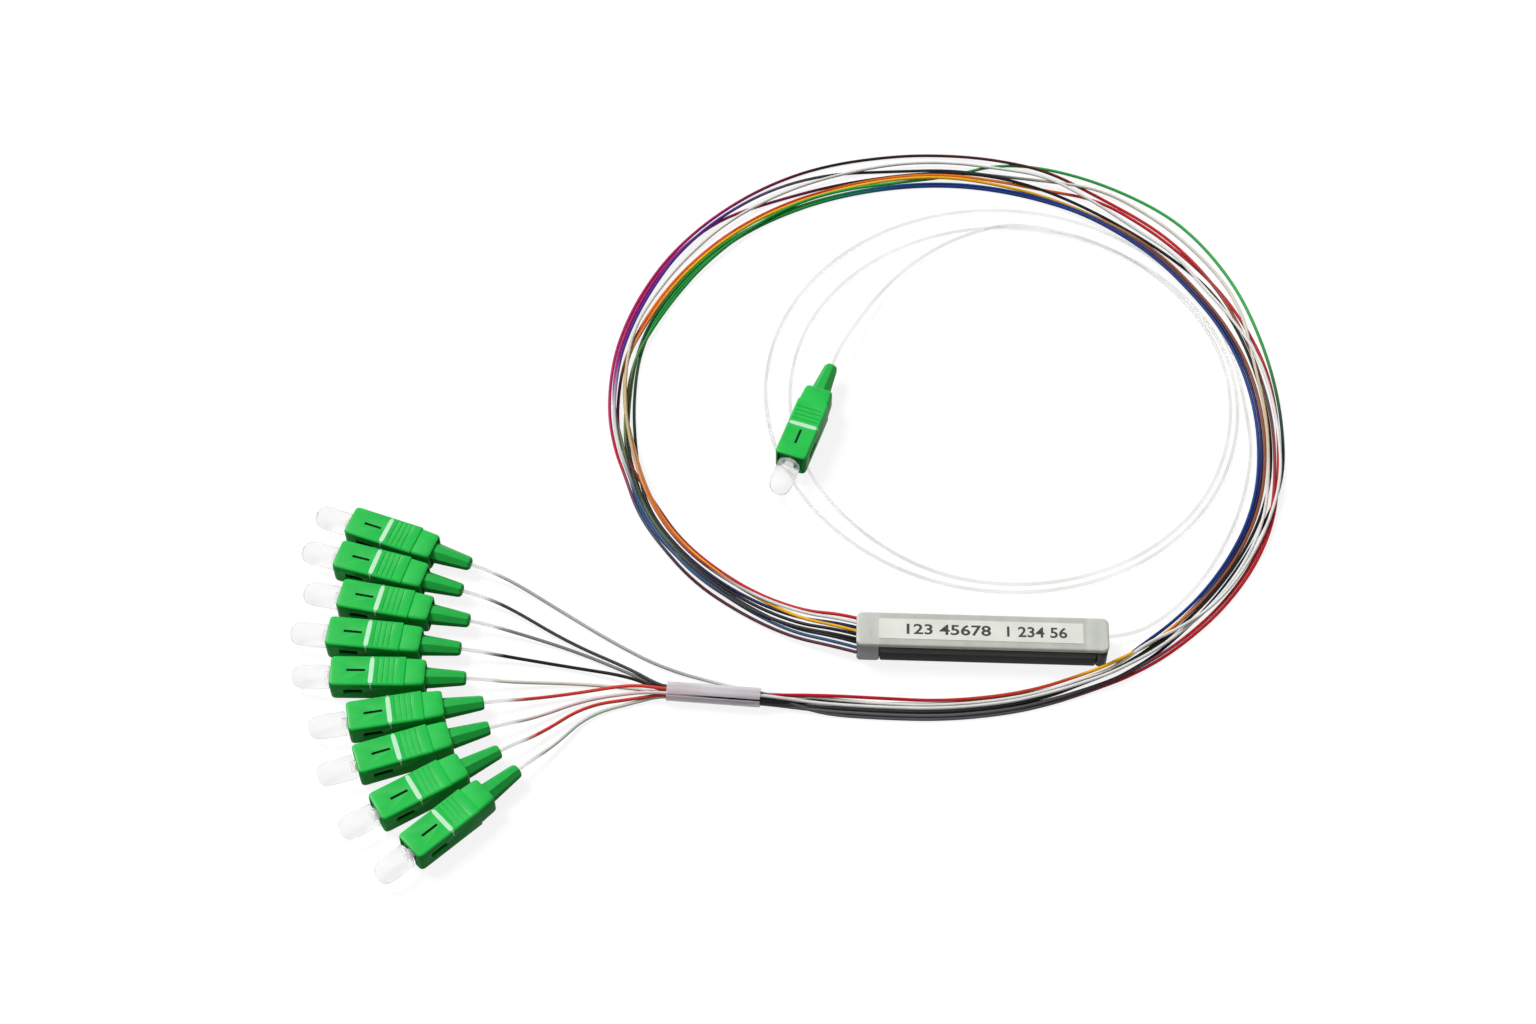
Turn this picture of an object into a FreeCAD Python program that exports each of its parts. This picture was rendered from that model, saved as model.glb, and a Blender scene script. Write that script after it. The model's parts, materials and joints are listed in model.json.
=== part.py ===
import FreeCAD, Part
import math
import os
import re

import Sketcher
from FreeCAD import Placement, Rotation, Vector

# A planar lightwave splitter in a slim frosted case, with nine coloured output tubes that run once
# round a loose coil, pass a split sleeve and fan out to nine square push-pull connectors, and one
# clear input tube that is wound inside the coil and ends in a tenth connector.
# Origin: the middle of the case's underside. +X runs along the case, +Z is up. Millimetres.

os.makedirs("parts", exist_ok=True)
doc = FreeCAD.newDocument("splitter")

# Driving sizes. Each is a cell of the sheet with an alias, and every feature is bound to it.
SIZES = {
    # case of the splitter
    "case_length": 66.7,
    "case_width": 10.2,
    "case_height": 8.6,
    "cover_height": 1.3,
    "cover_corner": 1.6,
    "tray_inset": 0.2,
    "tray_floor": 0.7,
    "tray_wall": 0.9,
    "output_seal_length": 6.4,
    "input_seal_length": 3.2,
    "label_length": 54.0,
    "label_width": 6.2,
    "label_height": 0.12,
    "label_shift": -0.4,
    # optics inside the case
    "chip_length": 14.0,
    "chip_side": 2.2,
    "array_side": 2.5,
    "output_array_length": 7.0,
    "input_array_length": 4.5,
    "optics_shift": 4.0,
    # connector grip
    "grip_length": 25.0,
    "grip_width": 9.0,
    "grip_height": 7.4,
    "grip_bevel": 0.7,
    "shoulder_back": 5.2,
    "tail_step": 0.25,
    "tail_width": 7.8,
    "tail_height": 6.8,
    "cavity_width": 7.6,
    "cavity_height": 6.0,
    "cavity_depth": 19.0,
    "tail_opening_width": 6.1,
    "tail_opening_height": 5.9,
    "window_start": 3.6,
    "window_length": 5.0,
    "window_height": 2.4,
    "slot_start": 4.4,
    "slot_length": 4.9,
    "slot_width": 0.7,
    "slot_depth": 0.35,
    "rib_start": 12.6,
    "rib_pitch": 1.4,
    "rib_width": 0.45,
    "rib_depth": 0.2,
    # plug frame inside the grip
    "frame_front": 0.4,
    "frame_back": 18.4,
    "frame_width": 7.0,
    "frame_height": 5.4,
    "frame_chamfer": 0.7,
    "front_bore_radius": 2.06,
    "chamber_start": 7.6,
    "chamber_width": 5.8,
    "chamber_height": 4.6,
    "notch_start": 4.2,
    "notch_length": 3.6,
    "notch_depth": 0.6,
    # ferrule with its metal flange
    "ferrule_tip": 1.0,
    "ferrule_radius": 1.25,
    "flange_start": 7.9,
    "flange_end": 10.6,
    "flange_width": 5.2,
    "flange_height": 4.0,
    "stem_radius": 0.8,
    "stem_end": 14.6,
    "polish_drop": 0.351,
    # spring behind the flange
    "spring_start": 11.7,
    "spring_end": 16.2,
    "spring_outer": 2.0,
    "spring_inner": 1.25,
    # rear body and crimp neck
    "plug_start": 16.4,
    "plug_gap": 0.05,
    "flare_end": 21.0,
    "flare_width": 5.3,
    "flare_height": 5.1,
    "neck_end": 26.4,
    "neck_radius": 1.8,
    # strain relief boot
    "boot_start": 22.6,
    "boot_end": 35.5,
    "boot_radius": 2.85,
    "boot_taper_start": 25.4,
    "boot_tip_radius": 1.9,
    "boot_bore_radius": 1.85,
    # dust cap
    "cap_reach": 10.3,
    "cap_nose_length": 1.0,
    "cap_nose_radius": 2.5,
    "cap_head_radius": 3.2,
    "cap_head_back": 0.5,
    "cap_sleeve_radius": 1.72,
    "cap_sleeve_end": 4.4,
    "cap_bore_radius": 1.41,
    "cap_bore_start": 1.6,
    # tubes, sleeve and coils
    "tube_diameter": 0.9,
    "sleeve_length": 24.6,
    "sleeve_outer": 2.55,
    "sleeve_inner": 2.15,
    "sleeve_slit": 0.7,
    "sleeve_height": 2.6,
    "core_radius": 1.85,
    "core_start": 0.6,
    "coil_height": 2.8,
    "exit_height": 6.6,
    "exit_run": 26.0,
    "input_coil_height": 1.3,
    "input_coil_outer": 69.7,
    "input_coil_inner": 63.3,
    "coil_side_gap": 0.3,
    "coil_top_gap": 0.05,
    "input_lift": 1.6,
    "fan_approach": 12.0,
    "fan_approach_drop": 1.8,
    "input_approach": 8.0,
    "input_approach_drop": 0.3,
}

sheet = doc.addObject("Spreadsheet::Sheet", "dims")
for row, (name, number) in enumerate(SIZES.items(), start=1):
    sheet.set("A%d" % row, name.replace("_", " "))
    sheet.set("B%d" % row, str(number))
    sheet.setAlias("B%d" % row, name)
doc.recompute()


def value(text):
    """The number that a sum such as 'grip_length - 0.5*grip_width' comes to."""
    total, sign = 0.0, 1.0
    for token in text.split():
        if token in "+-":
            sign = 1.0 if token == "+" else -1.0
            continue
        product = 1.0
        for factor in token.split("*"):
            product *= SIZES[factor] if factor in SIZES else float(factor)
        total += sign * product
        sign = 1.0
    return total


def bound(text):
    """The same sum with every name read from the sheet."""
    return re.sub(r"[a-z_]+", lambda found: "dims." + found.group(0), text)


def plane(body, role):
    return next(f for f in body.Origin.OriginFeatures if f.Role == role)


def new_body(label):
    body = doc.addObject("PartDesign::Body", label)
    body.Label = label
    return body


def outline(body, name, role, corners, lift=None):
    """A closed polygon on one of the body's planes, each corner held at (first, second)."""
    sketch = body.newObject("Sketcher::SketchObject", name)
    sketch.AttachmentSupport = (plane(body, role), "")
    sketch.MapMode = "FlatFace"
    if lift:
        sketch.setExpression("AttachmentOffset.Base.z", bound(lift))
    points = [Vector(value(u), value(v), 0) for u, v in corners]
    for i, point in enumerate(points):
        sketch.addGeometry(Part.LineSegment(point, points[(i + 1) % len(points)]), False)
    for i in range(len(points)):
        sketch.addConstraint(Sketcher.Constraint("Coincident", i, 2, (i + 1) % len(points), 1))
    for i, corner in enumerate(corners):
        for kind, text in (("DistanceX", corner[0]), ("DistanceY", corner[1])):
            if value(text) == 0.0:
                axis = -2 if kind == "DistanceX" else -1
                sketch.addConstraint(Sketcher.Constraint("PointOnObject", i, 1, axis))
                continue
            at = sketch.addConstraint(Sketcher.Constraint(kind, -1, 1, i, 1, value(text)))
            sketch.setExpression("Constraints[%d]" % at, bound(text))
    return sketch


def box_outline(body, name, role, u0, u1, v0, v1, lift=None):
    return outline(body, name, role, [(u0, v0), (u1, v0), (u1, v1), (u0, v1)], lift)


def circle_outline(body, name, role, radius, lift=None):
    sketch = body.newObject("Sketcher::SketchObject", name)
    sketch.AttachmentSupport = (plane(body, role), "")
    sketch.MapMode = "FlatFace"
    if lift:
        sketch.setExpression("AttachmentOffset.Base.z", bound(lift))
    sketch.addGeometry(Part.Circle(Vector(0, 0, 0), Vector(0, 0, 1), value(radius)), False)
    sketch.addConstraint(Sketcher.Constraint("Coincident", 0, 3, -1, 1))
    at = sketch.addConstraint(Sketcher.Constraint("Radius", 0, value(radius)))
    sketch.setExpression("Constraints[%d]" % at, bound(radius))
    return sketch


def pad(body, name, sketch, length):
    feature = body.newObject("PartDesign::Pad", name)
    feature.Profile = sketch
    feature.Length = value(length)
    feature.setExpression("Length", bound(length))
    doc.recompute()
    return feature


def tapered(feature, near_radius, far_radius, count):
    """Leans the sides of a padded polygon, so that it ends on another radius."""
    feature.setExpression("TaperAngle", "atan((dims.%s - dims.%s) * cos(180 deg / %d) * 1 mm / Length)" % (
        far_radius, near_radius, count))
    doc.recompute()


def cut(body, name, sketch, length, reverse=False):
    """A pocket that is checked to take material away."""
    before = body.Shape.Volume
    feature = body.newObject("PartDesign::Pocket", name)
    feature.Profile = sketch
    feature.Reversed = reverse
    feature.Length = value(length)
    feature.setExpression("Length", bound(length))
    doc.recompute()
    if body.Shape.Volume > before - 1e-3:
        raise RuntimeError("%s of %s cuts nothing" % (name, body.Label))
    return feature


def bevel_corners(width, height, bevel, inset=None):
    """A centred rectangle with its four corners cut off, as eight corners."""
    less = " - " + inset if inset else ""
    plus = " + " + inset if inset else ""
    right, left = "0.5*%s%s" % (width, less), "-0.5*%s%s" % (width, plus)
    top, bottom = "0.5*%s%s" % (height, less), "-0.5*%s%s" % (height, plus)
    return [
        (right, bottom + " + " + bevel), (right, top + " - " + bevel), (right + " - " + bevel, top),
        (left + " + " + bevel, top), (left, top + " - " + bevel), (left, bottom + " + " + bevel),
        (left + " + " + bevel, bottom), (right + " - " + bevel, bottom)]


def polygon(radius, count, phase=0.0):
    """The corners of a regular polygon round the axis."""
    corners = []
    for i in range(count):
        angle = math.radians(phase + 360.0 * i / count)
        shares = (round(math.cos(angle), 6) + 0.0, round(math.sin(angle), 6) + 0.0)
        corners.append(tuple("%.6f*%s" % (share, radius) for share in shares))
    return corners


def centred(body, name, width, height, lift=None):
    return box_outline(body, name, "YZ_Plane", "-0.5*" + width, "0.5*" + width,
                       "-0.5*" + height, "0.5*" + height, lift)


def edges_along(shape, way, test):
    """Names of the straight edges that run along a direction and pass a test on their middle."""
    names = []
    for i, edge in enumerate(shape.Edges, start=1):
        if not isinstance(edge.Curve, Part.Line):
            continue
        run = edge.Vertexes[-1].Point.sub(edge.Vertexes[0].Point)
        if run.Length > 1e-6 and abs(abs(run.dot(way)) / run.Length - 1) < 1e-6 and test(edge.CenterOfMass):
            names.append("Edge%d" % i)
    return names


def rounded(body, name, base, edges, radius):
    feature = body.newObject("PartDesign::Fillet", name)
    feature.Base = (base, edges)
    feature.Radius = value(radius)
    feature.setExpression("Radius", bound(radius))
    doc.recompute()
    return feature


X, Y, Z = Vector(1, 0, 0), Vector(0, 1, 0), Vector(0, 0, 1)
nodes = {}

# The splitter's case: a frosted cover on a dark tray, closed at both ends by clear seals.

cover = new_body("top_cover")
pad(cover, "cover_slab", box_outline(
    cover, "cover_plan", "XY_Plane", "-0.5*case_length", "0.5*case_length",
    "-0.5*case_width", "0.5*case_width", "case_height - cover_height"), "cover_height")
rounded(cover, "cover_corners", cover.Tip,
        edges_along(cover.Tip.Shape, Z, lambda p: True), "cover_corner")
nodes["top_cover"] = cover

tray_ends = ("output_seal_length - 0.5*case_length", "0.5*case_length - input_seal_length")
tray = new_body("base_tray")
pad(tray, "tray_block", box_outline(
    tray, "tray_plan", "XY_Plane", tray_ends[0], tray_ends[1],
    "tray_inset - 0.5*case_width", "0.5*case_width - tray_inset"), "case_height - cover_height")
cut(tray, "tray_hollow", box_outline(
    tray, "tray_inside", "XY_Plane", tray_ends[0] + " + tray_wall", tray_ends[1] + " - tray_wall",
    "tray_inset + tray_wall - 0.5*case_width", "0.5*case_width - tray_inset - tray_wall", "tray_floor"),
    "case_height", reverse=True)
nodes["base_tray"] = tray

for label, near, far in (
        ("output_end_seal", "tray_inset - 0.5*case_length", tray_ends[0]),
        ("input_end_seal", tray_ends[1], "0.5*case_length - tray_inset")):
    seal = new_body(label)
    pad(seal, label + "_block", box_outline(
        seal, label + "_plan", "XY_Plane", near, far,
        "tray_inset - 0.5*case_width", "0.5*case_width - tray_inset"), "case_height - cover_height")
    outer_x = value(near) if label.startswith("output") else value(far)
    rounded(seal, label + "_corners", seal.Tip,
            edges_along(seal.Tip.Shape, Z, lambda p, x=outer_x: abs(p.x - x) < 1e-3), "cover_corner")
    nodes[label] = seal

strip = new_body("label_strip")
pad(strip, "label_sheet", box_outline(
    strip, "label_plan", "XY_Plane", "label_shift - 0.5*label_length", "label_shift + 0.5*label_length",
    "-0.5*label_width", "0.5*label_width", "case_height"), "label_height")
nodes["label_strip"] = strip

# The optics lie on the tray's floor in one line: fibre array, splitter chip, fibre array.
optics = (
    ("output_fibre_array", "optics_shift - 0.5*chip_length - output_array_length",
     "output_array_length", "array_side"),
    ("splitter_chip", "optics_shift - 0.5*chip_length", "chip_length", "chip_side"),
    ("input_fibre_array", "optics_shift + 0.5*chip_length", "input_array_length", "array_side"),
)
for label, start, length, side in optics:
    block = doc.addObject("Part::Box", label)
    block.Label = label
    block.setExpression("Length", bound(length))
    block.setExpression("Width", bound(side))
    block.setExpression("Height", bound(side))
    block.setExpression("Placement.Base.x", bound(start))
    block.setExpression("Placement.Base.y", bound("-0.5*" + side))
    block.setExpression("Placement.Base.z", bound("tray_floor"))
    nodes[label] = block

# One connector of each kind of piece. Its own frame: the grip's front face at x = 0, the ferrule's
# axis along x and the boot at +x.

main_end = "grip_length - shoulder_back"
grip = new_body("grip_master")
pad(grip, "grip_main", outline(
    grip, "grip_section", "YZ_Plane", bevel_corners("grip_width", "grip_height", "grip_bevel")), main_end)
tail_front = outline(grip, "tail_front", "YZ_Plane", bevel_corners(
    "grip_width", "grip_height", "grip_bevel", "tail_step"), main_end)
tail_back = outline(grip, "tail_rear", "YZ_Plane", bevel_corners(
    "tail_width", "tail_height", "grip_bevel"), "grip_length")
tail = grip.newObject("PartDesign::AdditiveLoft", "grip_tail")
tail.Profile = tail_front
tail.Sections = [tail_back]
tail.Ruled = True
doc.recompute()
cut(grip, "grip_cavity", centred(grip, "cavity_section", "cavity_width", "cavity_height"),
    "cavity_depth", reverse=True)
cut(grip, "tail_opening", centred(grip, "tail_section", "tail_opening_width", "tail_opening_height"),
    "grip_length + 1.0", reverse=True)
for side, flip in (("left", True), ("right", False)):
    cut(grip, "latch_window_" + side, box_outline(
        grip, "window_" + side, "XZ_Plane", "window_start", "window_start + window_length",
        "-0.5*window_height", "0.5*window_height"), "grip_width", reverse=flip)
cut(grip, "key_slot", box_outline(
    grip, "slot_plan", "XY_Plane", "slot_start", "slot_start + slot_length",
    "-0.5*slot_width", "0.5*slot_width", "0.5*grip_height"), "slot_depth")
rib_plan = box_outline(
    grip, "rib_plan", "XY_Plane", "rib_start", "rib_start + rib_width",
    "-0.5*grip_width + grip_bevel", "0.5*grip_width - grip_bevel", "0.5*grip_height")
rib = cut(grip, "rib_groove", rib_plan, "rib_depth")
before = grip.Shape.Volume
row = grip.newObject("PartDesign::LinearPattern", "rib_row")
row.Originals = [rib]
row.Direction = (rib_plan, ["H_Axis"])
row.Length = 3 * SIZES["rib_pitch"]
row.setExpression("Length", "3 * dims.rib_pitch")
row.Occurrences = 4
grip.Tip = row
doc.recompute()
if grip.Shape.Volume > before - 1e-3:
    raise RuntimeError("the ribs of the grip cut nothing")

# the plug frame holds the ferrule: a round bore in front, a square chamber for the keyed flange behind
frame = new_body("plug_frame_master")
pad(frame, "frame_block", outline(
    frame, "frame_section", "YZ_Plane", bevel_corners("frame_width", "frame_height", "frame_chamfer"),
    "frame_front"), "frame_back - frame_front")
cut(frame, "frame_bore", outline(frame, "frame_bore_section", "YZ_Plane", polygon("front_bore_radius", 12)),
    "chamber_start + 1.0", reverse=True)
cut(frame, "frame_chamber", centred(
    frame, "chamber_section", "chamber_width", "chamber_height", "chamber_start"), "frame_back", reverse=True)
for side, low, high in (("left", "-0.5*frame_width - 1.0", "notch_depth - 0.5*frame_width"),
                        ("right", "0.5*frame_width - notch_depth", "0.5*frame_width + 1.0")):
    cut(frame, "latch_notch_" + side, box_outline(
        frame, "notch_plan_" + side, "XY_Plane", "notch_start", "notch_start + notch_length", low, high,
        "-0.5*frame_height"), "frame_height", reverse=True)

ferrule = new_body("ferrule_master")
pad(ferrule, "ferrule_pin", circle_outline(
    ferrule, "ferrule_circle", "YZ_Plane", "ferrule_radius", "-1*ferrule_tip"), "flange_start + ferrule_tip")
pad(ferrule, "ferrule_flange", centred(
    ferrule, "flange_section", "flange_width", "flange_height", "flange_start"), "flange_end - flange_start")
pad(ferrule, "ferrule_stem", outline(
    ferrule, "stem_section", "YZ_Plane", polygon("stem_radius", 6), "flange_end"), "stem_end - flange_end")
# the tip is polished at 8 degrees
cut(ferrule, "angled_polish", outline(
    ferrule, "polish_plane", "XZ_Plane", [
        ("-1*ferrule_tip", "-1*ferrule_radius"),
        ("polish_drop - ferrule_tip", "ferrule_radius"),
        ("polish_drop - ferrule_tip", "ferrule_radius + 1.0"),
        ("-1*ferrule_tip - 1.0", "ferrule_radius + 1.0"),
        ("-1*ferrule_tip - 1.0", "-1*ferrule_radius"),
    ], "-2*ferrule_radius"), "4*ferrule_radius", reverse=True)

spring = new_body("spring_master")
pad(spring, "spring_round", outline(
    spring, "spring_section", "YZ_Plane", polygon("spring_outer", 8), "spring_start"),
    "spring_end - spring_start")
cut(spring, "spring_hollow", outline(
    spring, "spring_inside", "YZ_Plane", polygon("spring_inner", 8)), "spring_end + 1.0", reverse=True)

rear = new_body("rear_body_master")
pad(rear, "rear_plug", outline(rear, "plug_section", "YZ_Plane", bevel_corners(
    "chamber_width", "chamber_height", "plug_gap", "plug_gap"), "plug_start"), "frame_back - plug_start")
pad(rear, "rear_flare", centred(rear, "flare_section", "flare_width", "flare_height", "frame_back"),
    "flare_end - frame_back")
pad(rear, "crimp_neck", outline(rear, "neck_section", "YZ_Plane", polygon("neck_radius", 6), "flare_end"),
    "neck_end - flare_end")

# the boot is an eight-sided sleeve that tapers to the tube
boot = new_body("boot_master")
pad(boot, "boot_collar", outline(
    boot, "boot_section", "YZ_Plane", polygon("boot_radius", 8, 22.5), "boot_start"),
    "boot_taper_start - boot_start")
tapered(pad(boot, "boot_taper", outline(
    boot, "taper_section", "YZ_Plane", polygon("boot_radius", 8, 22.5), "boot_taper_start"),
    "boot_end - boot_taper_start"), "boot_radius", "boot_tip_radius", 8)
cut(boot, "boot_bore", outline(boot, "boot_bore_section", "YZ_Plane", polygon("boot_bore_radius", 6)),
    "neck_end + 0.1", reverse=True)

cap = new_body("dust_cap_master")
pad(cap, "cap_head", outline(
    cap, "head_section", "YZ_Plane", polygon("cap_head_radius", 16), "cap_nose_length - cap_reach"),
    "cap_reach - cap_nose_length - cap_head_back")
pad(cap, "cap_nose", outline(
    cap, "nose_section", "YZ_Plane", polygon("cap_nose_radius", 16), "-1*cap_reach"), "cap_nose_length")
pad(cap, "cap_sleeve", outline(cap, "cap_sleeve_section", "YZ_Plane", polygon("cap_sleeve_radius", 8),
                               "-1*cap_head_back"), "cap_sleeve_end + cap_head_back")
cut(cap, "cap_bore", outline(cap, "cap_bore_section", "YZ_Plane", polygon("cap_bore_radius", 8),
                             "-1*cap_bore_start"), "cap_sleeve_end + cap_bore_start + 1.0", reverse=True)

# Where the connectors lie: the middle of each grip and the direction from its front to its boot.
FAN = {
    1: (-159.7, 27.2, -18.7),
    2: (-161.6, 17.0, -14.5),
    3: (-159.2, 5.6, -9.5),
    4: (-160.9, -5.3, -4.3),
    5: (-158.75, -16.55, 1.2),
    6: (-152.9, -28.0, 11.9),
    7: (-149.8, -38.8, 20.5),
    8: (-144.3, -50.1, 33.0),
    9: (-136.2, -59.1, 44.5),
}
INPUT = (-48.7, 67.0, 72.2)


def seat(middle_x, middle_y, angle, lift):
    turn = Rotation(Z, angle)
    back = turn.multVec(Vector(-0.5 * SIZES["grip_length"], 0, 0))
    return Placement(Vector(middle_x + back.x, middle_y + back.y, 0.5 * SIZES["grip_height"] + lift), turn)


seats = {"output_%d" % i: seat(x, y, angle, 0.0) for i, (x, y, angle) in FAN.items()}
seats["input"] = seat(*INPUT, SIZES["input_lift"])

moving = {"grip": grip, "ferrule": ferrule, "dust_cap": cap}
fixed = {"plug_frames": frame, "ferrule_springs": spring, "rear_bodies": rear, "boots": boot}
for place, at in seats.items():
    for kind, master in moving.items():
        copy = doc.addObject("App::Link", "%s_%s" % (place, kind))
        copy.Label = "%s_%s" % (place, kind)
        copy.LinkedObject = master
        copy.Placement = at
        nodes["%s_%s" % (place, kind)] = copy
for label, master in fixed.items():
    copies = []
    for place, at in seats.items():
        copy = doc.addObject("App::Link", "%s_%s" % (label, place))
        copy.LinkedObject = master
        copy.Placement = at
        copies.append(copy)
    group = doc.addObject("Part::Compound", label)
    group.Label = label
    group.Links = copies
    nodes[label] = group

# The split sleeve that gathers the tubes before they fan out.
SLEEVE_RIGHT = Vector(-58.2, -18.8, 0)
SLEEVE_ANGLE = 177.0
sleeve_way = Rotation(Z, SLEEVE_ANGLE).multVec(X)
sleeve_seat = Placement(
    SLEEVE_RIGHT + Vector(0, 0, SIZES["sleeve_height"]), Rotation(Z, SLEEVE_ANGLE))
sleeve = new_body("fan_sleeve")
pad(sleeve, "sleeve_round", circle_outline(
    sleeve, "sleeve_circle", "YZ_Plane", "sleeve_outer"), "sleeve_length")
cut(sleeve, "sleeve_bore", circle_outline(sleeve, "sleeve_bore_circle", "YZ_Plane", "sleeve_inner"),
    "sleeve_length", reverse=True)
cut(sleeve, "sleeve_split", box_outline(
    sleeve, "split_section", "YZ_Plane", "0.5*sleeve_inner", "sleeve_outer + 1.0",
    "-0.5*sleeve_slit", "0.5*sleeve_slit"), "sleeve_length", reverse=True)
sleeve.Placement = sleeve_seat
nodes["fan_sleeve"] = sleeve

# The input coil: a little over two and a half turns of the clear tube, fanned out on the left.
INPUT_COIL_CENTRE = (7.3, 85.1)
INPUT_COIL_HOLE = (9.7, 83.6)
ring = doc.addObject("Part::Cylinder", "input_coil_disc")
ring.setExpression("Radius", bound("input_coil_outer"))
ring.setExpression("Height", bound("input_coil_height"))
ring.Placement.Base = Vector(*INPUT_COIL_CENTRE, 0)
hole = doc.addObject("Part::Cylinder", "input_coil_hole")
hole.setExpression("Radius", bound("input_coil_inner"))
hole.setExpression("Height", bound("input_coil_height"))
hole.Placement.Base = Vector(*INPUT_COIL_HOLE, 0)
input_coil = doc.addObject("Part::Cut", "input_coil")
input_coil.Base = ring
input_coil.Tool = hole
input_coil.Label = "input_coil"
nodes["input_coil"] = input_coil

# The output coil: the flat band of nine tubes, from the case's left end clockwise round the loop and
# along the tail to the sleeve. Its two edges, in order along the band, and its body as one solid.
BAND_INNER = [
    (-33.15, 4.6), (-47.0, 8.6), (-60.0, 14.8), (-72.5, 23.7), (-82.0, 32.9), (-88.8, 42.7),
    (-92.8, 52.4), (-95.6, 63.6), (-96.9, 76.8), (-96.4, 92.1), (-93.0, 104.1), (-87.4, 116.1),
    (-79.8, 127.7), (-69.0, 139.5), (-55.0, 149.6), (-40.0, 156.3), (-23.5, 160.3), (-8.0, 161.5),
    (6.0, 160.1), (19.5, 156.7), (32.5, 150.3), (45.0, 141.3), (54.0, 132.6), (61.5, 122.6),
    (69.0, 110.6), (74.8, 96.1), (78.2, 78.1), (77.6, 59.1), (74.0, 44.4), (67.9, 31.4),
    (60.0, 19.4), (51.0, 9.6), (43.2, 2.9), (36.7, -3.2), (32.2, -6.8), (25.6, -9.1), (16.0, -12.0),
    (4.9, -14.9), (-11.0, -17.0), (-27.0, -17.2), (-43.0, -16.8), (-58.2, -16.0),
]
BAND_OUTER = [
    (-33.15, -4.6), (-48.0, -0.8), (-61.5, 6.1), (-75.0, 15.3), (-84.8, 25.0), (-92.8, 36.6),
    (-98.3, 49.8), (-102.6, 63.4), (-105.3, 79.1), (-104.6, 93.1), (-102.1, 105.5), (-97.4, 118.9),
    (-90.3, 132.7), (-80.5, 145.4), (-67.6, 157.1), (-53.6, 165.7), (-37.0, 171.7), (-19.6, 174.1),
    (-3.0, 173.9), (17.5, 171.3), (37.1, 165.1), (54.4, 155.3), (66.3, 142.9), (74.8, 128.5),
    (80.5, 112.9), (84.2, 97.0), (86.0, 80.1), (86.2, 68.1), (84.8, 54.6), (81.1, 40.5),
    (75.0, 27.5), (67.6, 16.3), (59.6, 7.4), (50.1, -1.1), (38.8, -8.5), (25.4, -14.6),
    (11.0, -19.7), (-5.7, -22.8), (-22.0, -23.3), (-41.0, -22.5), (-58.2, -21.3),
]


def smooth(points):
    """Tangent arcs through the points of an edge."""
    curve = Part.BSplineCurve()
    curve.interpolate([Vector(x, y, 0) for x, y in points])
    return [arc.toShape() for arc in curve.toBiArcs(0.15)]


inner_edge, outer_edge = smooth(BAND_INNER), smooth(BAND_OUTER)
start_edge = Part.LineSegment(Vector(*BAND_INNER[0], 0), Vector(*BAND_OUTER[0], 0)).toShape()
end_edge = Part.LineSegment(Vector(*BAND_OUTER[-1], 0), Vector(*BAND_INNER[-1], 0)).toShape()
band_edges = [start_edge, end_edge] + inner_edge + outer_edge
band_face = Part.Face(Part.Wire(Part.__sortEdges__(band_edges)))
band = band_face.extrude(Vector(0, 0, SIZES["coil_height"]))
# at the case the tubes leave the whole end face and come down to the table: the wedge under that
# slope is as broad as the case is long, and only what lies in the band is kept of it
case_end = BAND_INNER[0][0]
wedge_side = -0.5 * SIZES["case_length"]
ramp_side = Part.makePolygon([
    Vector(case_end, wedge_side, 0), Vector(case_end, wedge_side, SIZES["exit_height"]),
    Vector(case_end - SIZES["exit_run"], wedge_side, 0.5 * SIZES["coil_height"]),
    Vector(case_end - SIZES["exit_run"], wedge_side, 0), Vector(case_end, wedge_side, 0)])
ramp = band_face.extrude(Vector(0, 0, SIZES["exit_height"])).common(
    Part.Face(ramp_side).extrude(Vector(0, SIZES["case_length"], 0)))
# in the sleeve the band is a six-sided core, which starts a little before the sleeve does
core_rim = []
for i in range(7):
    angle = math.radians(60 * i)
    outward = Y * math.cos(angle) + Z * math.sin(angle)
    core_rim.append(sleeve_seat.multVec(outward * SIZES["core_radius"] - X * SIZES["core_start"]))
core = Part.Face(Part.makePolygon(core_rim)).extrude(
    sleeve_way * (SIZES["sleeve_length"] + SIZES["core_start"]))
# the band passes over the input coil with a gap round it and above it
under = Part.makeCylinder(
    SIZES["input_coil_outer"] + SIZES["coil_side_gap"], SIZES["input_coil_height"] + SIZES["coil_top_gap"],
    Vector(*INPUT_COIL_CENTRE, 0))
output_coil = doc.addObject("Part::Feature", "output_coil")
output_coil.Label = "output_coil"
output_coil.Shape = band.cut(under).fuse([ramp, core]).removeSplitter()
nodes["output_coil"] = output_coil


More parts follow.
